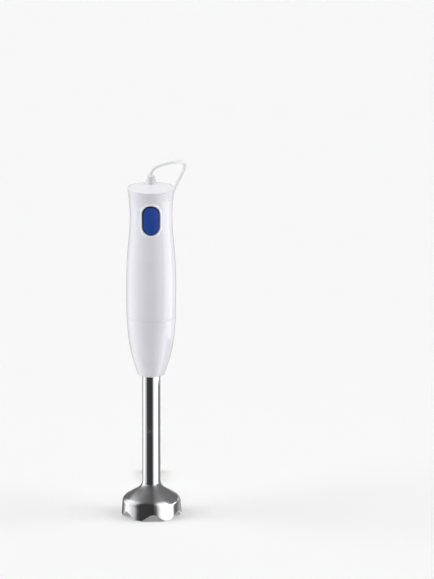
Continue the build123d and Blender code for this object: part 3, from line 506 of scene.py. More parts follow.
def smooth_line(knots: Sequence[tuple[float, float]], samples: int) -> np.ndarray:
    """Smooth radius over height: a natural cubic through (radius, height) knots, sampled evenly in height.

    The second differences come from one tridiagonal system, with none at the two ends.

    Args:
        knots: (radius, height) in millimetres, rising or falling in height.
        samples: number of points.

    Returns:
        Array (samples, 2) of radius and height in millimetres.
    """
    radius = np.array([knot[0] for knot in knots])
    height = np.array([knot[1] for knot in knots])
    step = np.diff(height)
    system = np.diag(np.r_[1.0, 2 * (step[:-1] + step[1:]), 1.0])
    system += np.diag(np.r_[0.0, step[1:]], 1) + np.diag(np.r_[step[:-1], 0.0], -1)
    slope = np.diff(radius) / step
    bend = np.linalg.solve(system, np.r_[0.0, 6 * np.diff(slope), 0.0])
    at = np.linspace(height[0], height[-1], samples)
    cell = np.clip(np.searchsorted(height, at, side="right") - 1, 0, len(step) - 1)
    left, right, wide = at - height[cell], height[cell + 1] - at, step[cell]
    value = (bend[cell] * right**3 + bend[cell + 1] * left**3) / (6 * wide)
    value += (radius[cell] / wide - bend[cell] * wide / 6) * right
    value += (radius[cell + 1] / wide - bend[cell + 1] * wide / 6) * left
    return np.column_stack([value, at])


def rounded_line(corners: Sequence[tuple[float, float, float]], per_arc: int = 8) -> np.ndarray:
    """Straight runs joined by tangent arcs.

    Each corner is cut back by its radius times the tangent of half its turn, and the arc between the two
    cuts is swept evenly about its centre.

    Args:
        corners: (radius from the axis, height, arc radius) in millimetres; the ends' arcs are ignored.
        per_arc: points on each arc.

    Returns:
        Array (n, 2) of radius and height.
    """
    line = [np.array(corners[0][:2])]
    for before, corner, after in zip(corners, corners[1:], corners[2:]):
        middle = np.array(corner[:2])
        back = np.array(before[:2]) - middle
        forth = np.array(after[:2]) - middle
        back, forth = back / np.linalg.norm(back), forth / np.linalg.norm(forth)
        half = math.acos(float(np.clip(back @ forth, -1, 1))) / 2
        if corner[2] <= 0 or half > math.pi / 2 - 1e-4:
            line.append(middle)
            continue
        centre = middle + (back + forth) / np.linalg.norm(back + forth) * corner[2] / math.sin(half)
        first = middle + back * corner[2] / math.tan(half) - centre
        last = middle + forth * corner[2] / math.tan(half) - centre
        share = np.linspace(0, 1, per_arc)[:, None]
        turn = math.pi - 2 * half
        swept = (first * np.sin((1 - share) * turn) + last * np.sin(share * turn)) / math.sin(turn)
        line.extend(centre + swept)
    line.append(np.array(corners[-1][:2]))
    return np.array(line)


def densify(line: np.ndarray, longest: float) -> np.ndarray:
    """Splits every run longer than a limit into equal shares, keeping all of the line's own points."""
    runs = np.linalg.norm(np.diff(line, axis=0), axis=1)
    parts = np.maximum(1, np.ceil(runs / longest).astype(int))
    pieces = [line[i] + (line[i + 1] - line[i]) * np.arange(n)[:, None] / n for i, n in enumerate(parts)]
    return np.concatenate(pieces + [line[-1:]])


def turned(line: np.ndarray, columns: int = 144, centre: tuple[float, float] = (0.0, 0.0)) -> np.ndarray:
    """Carries a line of (radius, height) in millimetres round an upright axis.

    Point (i, j) is the i-th point of the line at the j-th of evenly spaced angles.

    Args:
        line: array (n, 2).
        columns: number of angles.
        centre: the axis's place in millimetres.

    Returns:
        Array (n, columns, 3) in metres.
    """
    angle = np.linspace(0, 2 * np.pi, columns, endpoint=False)
    out = np.empty((len(line), columns, 3))
    out[..., 0] = line[:, :1] * np.cos(angle) + centre[0]
    out[..., 1] = line[:, :1] * np.sin(angle) + centre[1]
    out[..., 2] = line[:, 1:]
    return out / 1000


def lathe(name: str, look: Look, line: np.ndarray, columns: int = 160, centre: tuple[float, float] = (0.0, 0.0),
          crease: float = 35.0) -> bpy.types.Object:
    """One piece made of one line of (radius, height) in millimetres, turned about an upright axis.

    Args:
        name: the piece's name.
        look: its finish.
        line: array (n, 2).
        columns: number of angles.
        centre: the axis's place in millimetres.
        crease: angle in degrees above which an edge stays sharp.

    Returns:
        The new object.
    """
    surface = Surface()
    surface.grid(turned(line, columns, centre))
    return surface.build(name, look, crease)


def slot_outline(half_width: float, half_height: float, count: int) -> np.ndarray:
    """Upright slot with round ends, as points that go round with an even share of its length.

    The walk runs up the right side, over the top half circle, down the left side and under the bottom one.

    Args:
        half_width: half of its width, which is also the ends' radius.
        half_height: half of its full height.
        count: number of points.

    Returns:
        Array (count, 2) of offsets across and up, starting at the right of the middle.
    """
    straight = half_height - half_width
    total = 4 * straight + 2 * math.pi * half_width
    walk = np.linspace(0, total, count, endpoint=False)
    arc = math.pi * half_width
    ends = np.cumsum([straight, arc, 2 * straight, arc, straight])
    zone = np.searchsorted(ends, walk, side="right")
    start = np.r_[0, ends[:-1]][zone]
    along = walk - start
    turn = along / half_width
    across = np.choose(zone, [np.full(count, half_width), half_width * np.cos(turn), np.full(count, -half_width),
                              -half_width * np.cos(turn), np.full(count, half_width)])
    up = np.choose(zone, [along, straight + half_width * np.sin(turn), straight - along,
                          -straight - half_width * np.sin(turn), -straight + along])
    return np.column_stack([across, up])


# ---------------------------------------------------------------- the object's sub-assemblies


def at_bearing(table: Sequence[tuple[float, float]], bearing: np.ndarray) -> np.ndarray:
    """Brightness at each bearing, read evenly between the (bearing, brightness) pairs of a table."""
    return np.interp(bearing, *np.array(table).T)


@dataclass
class Studio:
    """Camera, pale floor, soft lights, and the panels that only reflections see.

    A table pairs degrees from the front, positive to the right, with brightness.
    """

    look_at: Point = (0.0724, 0.0, 0.2574)
    elevation: float = 15.5
    away: float = 12.0
    frame_height: float = 0.6369
    floor_colour: Colour = (0.886, 0.886, 0.886)
    sky_light: float = 0.22
    cone_panels: tuple[tuple[float, float], ...] = (
        (-180, 0), (-108, 0), (-104, 1.5), (-98, 1.5), (-94, 0), (50, 0), (56, 3.0), (83, 3.0), (87, 0), (180, 0))
    ceiling: float = 0.11
    rear_light: float = 0.85
    card_height: float = 0.046
    card_inner: tuple[tuple[float, float], ...] = (
        (-180, 0.12), (-100, 0.16), (-60, 0.17), (-25, 0.13), (-4, 0.085), (12, 0.1), (40, 0.15), (100, 0.16),
        (180, 0.12))
    card_outer: tuple[tuple[float, float], ...] = (
        (-180, 0.12), (-140, 0.15), (-110, 0.35), (-80, 0.9), (-60, 0.8), (-42, 0.35), (-30, 0.09), (-4, 0.05),
        (8, 0.07), (16, 0.4), (26, 0.95), (62, 0.95), (78, 0.15), (180, 0.12))
    card_hole: float = 0.0102
    floor_reach: float = 40.0
    panel_reach: float = 0.34
    disc_height: float = 0.0008
    wall_heights: tuple[float, ...] = (
        0.001, 0.03, 0.055, 0.075, 0.12, 0.17, 0.22, 0.27, 0.30, 0.36, 0.45, 0.6, 0.75, 0.9)
    cone_top: float = 0.1
    handle_band: tuple[float, ...] = (0.055, 0.075, 0.28, 0.31)
    back_from: tuple[float, float] = (106, 122)
    back_above: tuple[float, float] = (0.30, 0.33)
    rear_rise: tuple[float, float] = (0.36, 0.40)
    fan_foot: float = 0.0334
    fan_turn: float = 2.5
    fan_height: float = 0.0012
    fan_reach: tuple[float, ...] = (0.0, 0.003, 0.008, 0.016, 0.03, 0.05, 0.08, 0.11)
    shaft_panels: tuple[tuple[float, float], ...] = (
        (-180, 0.3), (-150, 0.1), (-135, 0.35), (-126, 0.8), (-118, 1.05), (-98, 1.02), (-88, 0.83), (-78, 0.66),
        (-68, 0.48), (-58, 0.12), (-48, 0.045), (6, 0.035), (17, 0.14), (25, 0.58), (34, 1.1), (90, 1.1),
        (97, 0.2), (110, 0.1), (124, 0.24), (145, 0.4), (180, 0.35))
    handle_panels: tuple[tuple[float, float], ...] = (
        (-180, 0.12), (-134, 0.15), (-122, 0.9), (-104, 1.1), (-84, 0.9), (-68, 0.5), (-58, 0.12), (-48, 0.045),
        (6, 0.035), (17, 0.14), (25, 0.58), (34, 1.1), (60, 1.1), (67, 3.2), (110, 3.2), (116, 0.25), (124, 0.3),
        (130, 1.0), (142, 1.0), (148, 0.15), (180, 0.12))

    def build(self) -> None:
        """Makes everything that isn't the object."""
        self.camera()
        self.floor()
        self.sky()
        self.lamps()
        self.panels()
        view = bpy.context.scene.view_settings
        view.view_transform = "Standard"
        view.look = "None"

    def camera(self) -> None:
        """Very long lens from the front, a little above."""
        data = bpy.data.cameras.new("camera")
        data.sensor_width = 36.0
        data.lens = 18.0 * self.away / (self.frame_height / 2)
        data.clip_start, data.clip_end = 0.1, 100.0
        camera = place_object("camera", data)
        tilt = math.radians(self.elevation)
        back = Vector((0.0, -math.cos(tilt), math.sin(tilt)))
        camera.location = Vector(self.look_at) + back * self.away
        camera.rotation_euler = (-back).to_track_quat("-Z", "Y").to_euler()
        bpy.context.scene.camera = camera

    def floor(self) -> None:
        """Plain pale floor that runs far behind the object."""
        reach = self.floor_reach
        mesh = bpy.data.meshes.new("floor")
        mesh.from_pydata([(-reach, -reach, 0), (reach, -reach, 0), (reach, reach, 0), (-reach, reach, 0)], [],
                         [(0, 1, 2, 3)])
        floor = place_object("floor", mesh)
        material, sketch, shader = start_material("floor_board")
        sketch.feed(shader, {"Base Color": (*self.floor_colour, 1.0), "Roughness": 0.95, "Specular IOR Level": 0.0})
        mesh.materials.append(material)

    def sky(self) -> None:
        """Even white surroundings."""
        world = bpy.data.worlds.new("white_room")
        world.use_nodes = True
        NodeSketch(world.node_tree).feed(world.node_tree.nodes["Background"],
                                         {0: (1.0, 1.0, 1.0, 1.0), 1: self.sky_light})
        bpy.context.scene.world = world

    def lamp(self, name: str, bearing: float, elevation: float, spread: float, strength: float,
             shadow: bool = True) -> None:
        """Adds one even soft light from a direction, hidden from reflections.

        Args:
            name: the light's name.
            bearing: degrees from the front, positive to the right.
            elevation: degrees above the floor.
            spread: angle of the soft source in degrees.
            strength: its irradiance.
            shadow: whether it casts shadows.
        """
        data = bpy.data.lights.new(name, "SUN")
        data.angle = math.radians(spread)
        data.energy = strength
        data.use_shadow = shadow
        light = place_object(name, data)
        turn, rise = math.radians(bearing), math.radians(elevation)
        towards = Vector((math.sin(turn) * math.cos(rise), -math.cos(turn) * math.cos(rise), math.sin(rise)))
        light.rotation_euler = towards.to_track_quat("Z", "Y").to_euler()
        light.location = towards
        light.visible_glossy = False

    def lamps(self) -> None:
        """A soft light and a shadowless fill at each side, and one light above."""
        for side, bearing, light, fill in (("left", -86.0, 0.8, 1.15), ("right", 86.0, 0.7, 1.1)):
            self.lamp("light_" + side, bearing, 45.0, 44.0, light)
            self.lamp("fill_" + side, bearing, 26.0, 44.0, fill, shadow=False)
        self.lamp("light_above", 180.0, 78.0, 110.0, 0.6)

    def panels(self) -> None:
        """Round wall, roof and floor disc of light and dark panels that only reflections see.

        The wall stands on a circle about the object: point (i, j) is at the i-th height and the j-th angle. The
        roof and the disc shrink that circle to its middle. Brightness runs over the angle, measured from the
        front, with brighter side panels over the handle's band of heights and a plain grey upper back.
        """
        around = np.linspace(-180, 180, 360, endpoint=False)
        turn = np.radians(around) - np.pi / 2
        ring = np.stack([np.cos(turn), np.sin(turn), np.zeros_like(turn)], axis=-1)
        circle = self.panel_reach * ring
        up = np.array([0, 0, 1])
        low, high = at_bearing(self.shaft_panels, around), at_bearing(self.handle_panels, around)
        under = np.maximum(low, at_bearing(self.cone_panels, around))
        heights = np.array(self.wall_heights)[:, None]
        band = np.interp(heights, self.handle_band, (0, 1, 1, 0))
        lit = np.where(heights < self.cone_top, under, low) * (1 - band) + high * band
        back = np.interp(np.abs(around), self.back_from, (0, 1)) * np.interp(heights, self.back_above, (0, 1))
        rear = np.interp(heights, self.rear_rise, (self.ceiling, self.rear_light))
        self.glow_mesh("panel_wall", circle + up * heights[..., None], lit * (1 - back) + rear * back)
        share = np.linspace(1, 0.004, 14)[:, None, None]
        roof = circle * share + up * self.wall_heights[-1]
        behind = np.clip((roof[..., 1] - 0.02) / 0.04, 0, 1)
        self.glow_mesh("panel_roof", roof, low * (1 - behind) + self.ceiling * behind)
        far = np.clip((share[..., 0] - 0.42) / 0.08, 0, 1)
        self.glow_mesh("panel_disc", circle * share + up * self.disc_height, low * (1 - far) + under * far)
        self.fan()
        self.card(around, ring)

    def fan(self) -> None:
        """Bright and dark rays on the floor before the guard, seen by reflections alone.

        From the guard's rim at each angle a ray runs out at twice that angle, the way that a round wall throws
        what comes from the front. Point (i, j) is the i-th distance along the j-th ray.
        """
        aim = np.radians(np.linspace(-84, 84, 260))
        reach = np.array(self.fan_reach)[:, None]
        rays = np.stack([self.fan_foot * np.sin(aim) + reach * np.sin(2 * aim),
                         -self.fan_foot * np.cos(aim) - reach * np.cos(2 * aim),
                         np.full((len(reach), len(aim)), self.fan_height)], axis=-1)
        glow = at_bearing(self.shaft_panels, np.degrees(2 * aim) - np.interp(aim, (0.0, 0.1), (0.0, self.fan_turn)))
        self.glow_mesh("panel_fan", rays, np.broadcast_to(glow, rays.shape[:2]), closed=False)

    def card(self, around: np.ndarray, ring: np.ndarray) -> None:
        """Flat ring just over the guard, seen by reflections alone and only from below.

        Point (i, j) lies at the j-th angle, the i-th share of the way from the tube to the card's edge.

        Args:
            around: the angles in degrees from the front.
            ring: points of the unit circle at those angles.
        """
        edge = np.interp(around, (50, 76, 150, 172), (0.046, 0.14, 0.14, 0.046))[None, :, None]
        share = np.array([1.0, 0.72, 0.45, 0.0])[:, None, None]
        card = ring * (self.card_hole + (edge - self.card_hole) * share) + [0, 0, self.card_height]
        weight = np.array([1.0, 0.6, 0.12, 0.0])[:, None]
        lit = at_bearing(self.card_inner, around) * (1 - weight) + at_bearing(self.card_outer, around) * weight
        self.glow_mesh("panel_card", card, lit, one_sided=True)

    def glow_mesh(self, name: str, grid: np.ndarray, lit: np.ndarray, closed: bool = True,
                  one_sided: bool = False) -> None:
        """Adds a grid of quads that shines with its own brightness at each point, to reflections alone.

        Args:
            name: the piece's name.
            grid: array (rows, columns, 3) in metres.
            lit: brightness at each point, array (rows, columns).
            closed: whether the last column joins the first.
            one_sided: whether it can only be seen from its front, here from below.
        """
        mesh = bpy.data.meshes.new(name)
        mesh.from_pydata(grid.reshape(-1, 3).tolist(), [], grid_quads(*lit.shape, closed).reshape(-1, 4).tolist())
        brightness = mesh.attributes.new("brightness", "FLOAT", "POINT")
        brightness.data.foreach_set("value", lit.astype(np.float32).ravel())
        material, sketch, surface = blank_material(name)
        source = sketch.add("ShaderNodeAttribute", attribute_name="brightness")
        shine = sketch.add("ShaderNodeEmission", {"Strength": source.outputs["Fac"]}).outputs[0]
        if one_sided:
            facing = sketch.add("ShaderNodeNewGeometry").outputs["Backfacing"]
            clear = sketch.add("ShaderNodeBsdfTransparent").outputs[0]
            shine = sketch.add("ShaderNodeMixShader", {0: facing, 1: clear, 2: shine}).outputs[0]
        sketch.link(shine, surface)
        mesh.materials.append(material)
        panel = place_object(name, mesh)
        for kind in ("camera", "diffuse", "shadow", "transmission", "volume_scatter"):
            setattr(panel, "visible_" + kind, False)


@dataclass
class MainsCord:
    """The cord: out of the boot, over and down behind the handle, into a small coil, and on to its plug."""

    thickness: float = 0.0042
    turn_inner: float = 18.9
    turn_outer: float = 23.1
    coil_y: float = 59.8
    layer_low: float = 2.1
    layer_high: float = 6.3
    first_bearing: float = -128.0
    last_bearing: float = -160.0
    per_turn: int = 14
    rounding: float = 0.985
    falling: tuple[Point, ...] = (
        (0.0, 14.0, 383.2), (0.0, 14.0, 387.2), (2.8, 14.0, 391.3), (8.8, 14.1, 394.8), (15.8, 14.8, 396.8),
        (23.8, 17.0, 397.8), (31.2, 22.0, 397.4), (36.2, 30.4, 394.4), (37.2, 40.2, 387.6), (34.4, 49.0, 377.4),
        (28.0, 54.8, 363.0), (18.5, 55.0, 341.0), (10.5, 50.2, 306.0), (5.0, 43.8, 258.0), (0.9, 40.2, 207.0),
        (1.6, 38.6, 157.0), (3.2, 38.3, 108.0), (5.4, 38.6, 64.0), (6.0, 38.4, 42.0), (5.3, 38.2, 27.0),
        (1.2, 38.0, 14.6), (-7.0, 38.6, 6.8),
    )
    leaving: tuple[Point, ...] = (
        (-23.1, 60.8, 2.1), (-23.0, 73.0, 2.1), (-17.2, 84.6, 2.1), (-6.8, 92.2, 2.1), (-0.8, 103.6, 5.5),
        (-0.8, 114.8, 5.5),
    )

    def ring_points(self) -> list[Point]:
        """Points of the coil's turns.

        Each turn runs clockwise round the coil's middle with twelve and more points; its radius and its height
        change over the last third of a turn on the way to the next place in the bundle.

        Returns:
            The points in millimetres.
        """
        places = np.array([(self.turn_outer, self.layer_high), (self.turn_inner, self.layer_high),
                           (self.turn_inner, self.layer_low), (self.turn_outer, self.layer_low)])
        last = len(places) - 1
        start, end = self.first_bearing, self.last_bearing - len(places) * 360.0
        angles = np.linspace(start, end, int(round((start - end) / 360 * self.per_turn)) + 1)
        turn = (start - angles) / (start - end) * len(places)
        level = np.minimum(turn.astype(int), last)
        nearer = np.clip((turn - level - 0.7) / 0.3, 0, 1)[:, None]
        here = places[level] * (1 - nearer) + places[np.minimum(level + 1, last)] * nearer
        wobble = 0.25 * np.sin(turn * 2 * np.pi * 1.37 + 0.6)
        radius = here[:, 0] + wobble
        bearing = np.radians(angles)
        return [(float(r * math.cos(b)), float(self.coil_y + r * math.sin(b)), float(h))
                for r, b, h in zip(radius, bearing, here[:, 1])]

    def build(self) -> bpy.types.Object:
        """Returns:
            The cord.
        """
        points = list(self.falling) + self.ring_points() + list(self.leaving)
        places = np.array(points) / 1000
        curve = bpy.data.curves.new("mains_lead", "CURVE")
        curve.dimensions = "3D"
        curve.bevel_depth = self.thickness / 2
        curve.bevel_resolution = 5
        curve.resolution_u = 8
        curve.use_fill_caps = True
        spline = curve.splines.new("NURBS")
        spline.points.add(len(points) - 1)
        spline.points.foreach_set("co", np.column_stack([places, np.ones(len(places))]).ravel())
        spline.order_u = 3
        spline.use_endpoint_u = True
        spline.use_smooth = True
        piece = place_object("mains_lead", curve)
        curve.materials.append(Look.SHEATH.material())
        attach(piece, "motor_body")
        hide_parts("mains_cord", "cord_coil", "plug_lead")
        return piece


@dataclass
class Handle:
    """White handle shell with its button opening, and the cap that closes it."""

    seam: float = 227.5
    top: float = 372.5
    wall: float = 2.4
    knots: tuple[tuple[float, float], ...] = ((27.1, 227.5), (27.4, 250.0), (26.0, 301.0), (23.3, 342.5),
                                             (25.9, 372.5))
    slot_half_width: float = 12.7
    slot_half_height: float = 19.6
    slot_z: float = 341.9
    window: float = 25.0
    boot_y: float = 14.0
    groove_low: float = 360.6
    groove_high: float = 371.4
    groove_pitch: float = 2.28
    groove_depth: float = 0.3

    def radius_at(self, height: np.ndarray | float) -> np.ndarray | float:
        """Outer radius at a height, in millimetres, from a dense sampling of the smooth side line."""
        line = smooth_line(self.knots, 600)
        return np.interp(height, line[:, 1], line[:, 0])

    def grooves(self, height: np.ndarray) -> np.ndarray:
        """Depth of the fine grip grooves under the cap: the cube of a raised cosine of the height, faded in."""
        inside = np.minimum(height - self.groove_low, self.groove_high - height)
        fade = np.clip(inside / (self.groove_pitch / 2), 0, 1)
        wave = (1 + np.cos(2 * np.pi * (height - self.top + 2.0) / self.groove_pitch)) / 2
        return self.groove_depth * fade * wave**3

    def skin(self, angle: np.ndarray, height: np.ndarray, out: float = 0.0) -> np.ndarray:
        """Points of the handle's skin: radius from the side line, at an angle and a height, moved outwards.

        Args:
            angle: bearing in radians.
            height: height in millimetres.
            out: distance outwards in millimetres.

        Returns:
            Points in metres, with a last axis of three.
        """
        radius = self.radius_at(height) + out - self.grooves(height)
        return np.stack([radius * np.cos(angle), radius * np.sin(angle), height], axis=-1) / 1000

    def shell(self) -> bpy.types.Object:
        """Outer skin, button opening, inner skin and the two rims.

        The skin is a grid over bearing and height with a window left out at the front. Between the window's edge
        and the slot's outline, rings run from one to the other in equal shares of bearing and height.

        Returns:
            The shell.
        """
        columns, half_window = 160, 20
        first, last = self.seam + 0.4, self.top - 0.35
        window_low, window_high = self.slot_z - self.window, self.slot_z + self.window
        low = np.linspace(first, window_low, 44)
        middle = np.linspace(window_low, window_high, 141)
        high = np.linspace(window_high, last, 22)
        heights = np.concatenate([low, middle[1:], high[1:]])
        angle = np.linspace(0, 2 * np.pi, columns, endpoint=False)
        front = 3 * columns // 4
        keep = np.ones((len(heights) - 1, columns), dtype=bool)
        first_row = len(low) - 1
        keep[first_row:first_row + len(middle) - 1, front - half_window:front + half_window] = False
        shell = Surface()
        shell.grid(self.skin(*np.meshgrid(angle, heights)), keep=keep)
        # window's edge, walked as the slot is: up the right side, over the top, down the left, under
        right = angle[front + half_window]
        left = angle[front - half_window]
        centre = len(middle) // 2
        across = angle[front - half_window:front + half_window + 1]
        edge_angle = np.concatenate([np.full(len(middle) - centre - 1, right), across[::-1],
                                     np.full(len(middle) - 2, left), across,
                                     np.full(centre, right)])
        edge_height = np.concatenate([middle[centre:-1], np.full(len(across), middle[-1]), middle[-2:0:-1],
                                      np.full(len(across), middle[0]), middle[1:centre + 1]])
        edge_angle, edge_height = edge_angle[:-1], edge_height[:-1]
        count = len(edge_angle)
        slot = slot_outline(self.slot_half_width, self.slot_half_height, count)
        slot_height = slot[:, 1] + self.slot_z
        slot_angle = 1.5 * np.pi + np.arcsin(slot[:, 0] / self.radius_at(slot_height))
        share = np.linspace(0, 1, 17)[:, None]
        shell.grid(self.skin(edge_angle * (1 - share) + slot_angle * share,
                             edge_height * (1 - share) + slot_height * share))
        # lip of the opening, rolled in and then straight back through the wall
        depth = np.array([0.0, 0.06, 0.22, 0.5, self.wall])[:, None]
        y = -np.sqrt(self.radius_at(slot_height) ** 2 - slot[:, 0] ** 2) + depth
        shell.grid(np.stack(np.broadcast_arrays(slot[:, 0], y, slot_height), axis=-1) / 1000)
        # rims and inner skin
        edge = self.radius_at(self.seam)
        foot = np.array([[self.radius_at(first), first], [edge - 0.12, self.seam + 0.12],
                         [edge - 0.45, self.seam], [edge - self.wall, self.seam]])
        shell.grid(turned(foot, columns))
        inner = smooth_line([(radius - self.wall, height) for radius, height in self.knots], 60)
        shell.grid(turned(inner[:36], columns))
        edge = self.radius_at(self.top)
        brim = np.array([[self.radius_at(last), last], [edge - 0.06, self.top - 0.1], [edge - 0.3, self.top],
                         [edge - self.wall, self.top]])
        shell.grid(turned(brim, columns))
        piece = shell.build("handle_shell", Look.WHITE)
        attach(piece, "motor_body")
        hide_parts("handle_housing")
        return piece

    def lid(self) -> bpy.types.Object:
        """Cap: a bevelled disc with a small round boss for the cord.

        Each is a side line turned about an upright axis: the disc's is the handle's, the boss's is the cord's.

        Returns:
            The cap.
        """
        rim = rounded_line([(0.0, 365.5, 0), (20.0, 365.5, 0), (21.3, 368.0, 0), (21.6, 372.5, 0),
                            (25.9, 372.5, 0.25), (25.9, 373.2, 0.5), (23.3, 374.1, 1.6), (0.0, 374.1, 0)], 6)
        boss = rounded_line([(4.7, 372.6, 0), (4.7, 378.3, 0.2), (5.35, 378.3, 0.5), (6.15, 374.1, 1.0),
                             (7.6, 374.05, 0)], 6)
        cap = Surface()
        cap.grid(turned(densify(rim, 0.55), 216))
        cap.grid(turned(densify(boss, 0.5), 96, (0.0, self.boot_y)))
        piece = cap.build("cap_lid", Look.WHITE)
        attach(piece, "motor_body")
        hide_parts("top_cap")
        return piece

    def boot(self) -> bpy.types.Object:
        """Short boot, light grey partly as painted shade of its ribs: a block with three round ribs and a flat top that
        the cord leaves through.

        Its side line swells by half a cosine at each rib and is turned about the boot's own upright axis.

        Returns:
            The boot.
        """
        height = np.linspace(378.3, 382.8, 46)
        beat = np.cos(2 * np.pi * (height - 379.05) / 1.5)
        radius = 4.62 - 0.085 * (height - 378.3) + 0.26 * np.clip(beat + 0.2, 0, 1)
        line = np.vstack([[4.6, 372.0], np.column_stack([radius, height]),
                          [[4.1, 383.1], [3.8, 383.25], [2.6, 383.25], [2.3, 383.0], [2.15, 382.0], [2.15, 380.0]]])
        piece = lathe("cord_boot", Look.BOOT, line, 96, (0.0, self.boot_y), 50)
        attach(piece, "motor_body")
        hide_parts("strain_relief")
        return piece

    def build(self) -> None:
        """Makes the handle's pieces."""
        for make in (self.shell, self.lid, self.boot):
            log.info("%s", make().name)


@dataclass
class PressButton:
    """Blue press button in its raised pale surround."""

    handle: Handle
    half_width: float = 9.7
    half_height: float = 16.6
    proud: float = 1.5
    play: float = 0.04
    roll: float = 0.14
    # the pad's painted shade at its rim: where it starts and over how much it deepens, in millimetres from the middle
    painted_shade_from: float = 8.15
    painted_shade_over: float = 0.45
    band: float = 3.0
    band_proud: float = 0.7

    def pad(self, out: Callable[[np.ndarray], np.ndarray], rings: np.ndarray) -> np.ndarray:
        """Rings from the middle of a slot shape out to its edge, laid over the handle's skin.

        A ring's point is the slot's outline scaled by the ring's share; its depth is the handle's skin at that
        place and height, moved outwards by a distance that depends on the share.

        Args:
            out: distance outwards for each share.
            rings: shares from 0 in the middle to 1 at the edge.

        Returns:
            Grid (rings, points, 3) in metres.
        """
        half_width, half_height = self.half_width - self.play, self.half_height - self.play
        edge = slot_outline(half_width, half_height, 120)
        straight = half_height - half_width
        spine = np.clip(edge[:, 1], -straight, straight)
        across = edge[:, 0][None] * rings[:, None]
        up = spine[None] * rings[:, None] ** 0.35 + (edge[:, 1] - spine)[None] * rings[:, None]
        height = up + self.handle.slot_z
        radius = self.handle.radius_at(height) + out(rings)[:, None]
        depth = -np.sqrt(radius**2 - across**2)
        return np.stack([across, depth, height], axis=-1) / 1000

    def walls(self, rim: np.ndarray, depths: Sequence[float], spread: Sequence[float]) -> np.ndarray:
        """Carries a rim straight back by each depth, in millimetres, with a little change of size.

        Args:
            rim: array (count, 3) in metres.
            depths: distances back.
            spread: scale of the rim about the button's middle at each depth.

        Returns:
            Grid (depths, count, 3).
        """
        middle = np.array([0.0, 0.0, self.handle.slot_z / 1000])
        grid = np.repeat(rim[None], len(depths), axis=0)
        scale = np.array(spread)[:, None, None]
        grid = np.where([True, False, True], middle + (grid - middle) * scale, grid)
        grid[..., 1] += np.array(depths)[:, None] / 1000
        return grid

    def button(self) -> bpy.types.Object:
        """Crowned pad with a rolled edge and its skirt, whose colour gets painted shade along the rolled edge."""
        turn = np.linspace(0, 1, 12)
        flat = 1 - self.roll
        rings = np.concatenate([np.linspace(0, flat, 18)[:-1], flat + self.roll * np.sin(turn * np.pi / 2)])

        def crown(share: np.ndarray) -> np.ndarray:
            """Nearly flat pad that rolls down over its last seventh."""
            rolled = np.clip((share - flat) / self.roll, 0, 1)
            return self.proud - 0.3 * share**2 - 1.25 * (1 - np.sqrt(np.maximum(0, 1 - rolled**2)))

        face = self.pad(crown, rings)
        skirt = self.walls(face[-1], [0.0, 0.6, 2.5, 5.5], [1.0, 1.0, 1.0, 1.0])
        back = self.walls(face[-1], [5.5, 5.5], [1.0, 0.0])
        pad = Surface()
        for grid in (face, skirt, back):
            pad.grid(grid)
        piece = pad.build("button_pad", Look.BLUE, crease=50)
        # mask of painted shade for the blue finish: it rises from 0 to 1 past the flat middle towards the rim, where
        # the colour darkens
        points = np.empty(len(piece.data.vertices) * 3)
        piece.data.vertices.foreach_get("co", points)
        x, _, z = points.reshape(-1, 3).T * 1000
        straight = self.half_height - self.half_width
        off = np.hypot(x, np.maximum(np.abs(z - self.handle.slot_z) - straight, 0))
        edge = piece.data.attributes.new("edge", "FLOAT", "POINT")
        edge.data.foreach_set("value", np.clip((off - self.painted_shade_from) / self.painted_shade_over, 0, 1).astype(np.float32))
        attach(piece, "button")
        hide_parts("power_button")
        return piece

    def surround(self) -> bpy.types.Object:
        """Pale band round the button, crowned across its width.

        Its section is a low arch between the inner and the outer outline, carried round the slot.

        Returns:
            The band.
        """
        count = 160
        inner = slot_outline(self.half_width + 0.2, self.half_height + 0.2, count)
        outer = slot_outline(self.half_width + self.band - 0.1, self.half_height + self.band - 0.1, count)
        share = np.concatenate([np.zeros(4), (1 - np.cos(np.linspace(0, np.pi, 15))) / 2, np.ones(4)])
        arch = np.sin(np.clip(share, 0, 1) * np.pi) ** 0.45 * self.band_proud
        sink = np.concatenate([[-3.6, -2.0, -1.0, -0.3], np.zeros(15), [-0.3, -1.0, -2.0, -3.6]])
        lift = (arch + sink)[:, None]
        across, height = np.moveaxis(inner * (1 - share[:, None, None]) + outer * share[:, None, None], -1, 0)
        height = height + self.handle.slot_z
        radius = self.handle.radius_at(height) + lift
        grid = np.stack([across, -np.sqrt(radius**2 - across**2), height], axis=-1) / 1000
        band = Surface()
        band.grid(grid)
        band.grid(grid[[-1, 0]])
        piece = band.build("button_surround", Look.PALE, crease=60)
        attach(piece, "motor_body")
        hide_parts("button_bezel")
        return piece

    def build(self) -> None:
        """Makes the button and its surround."""
        self.button()
        log.info("button")
        self.surround()
        log.info("button surround")


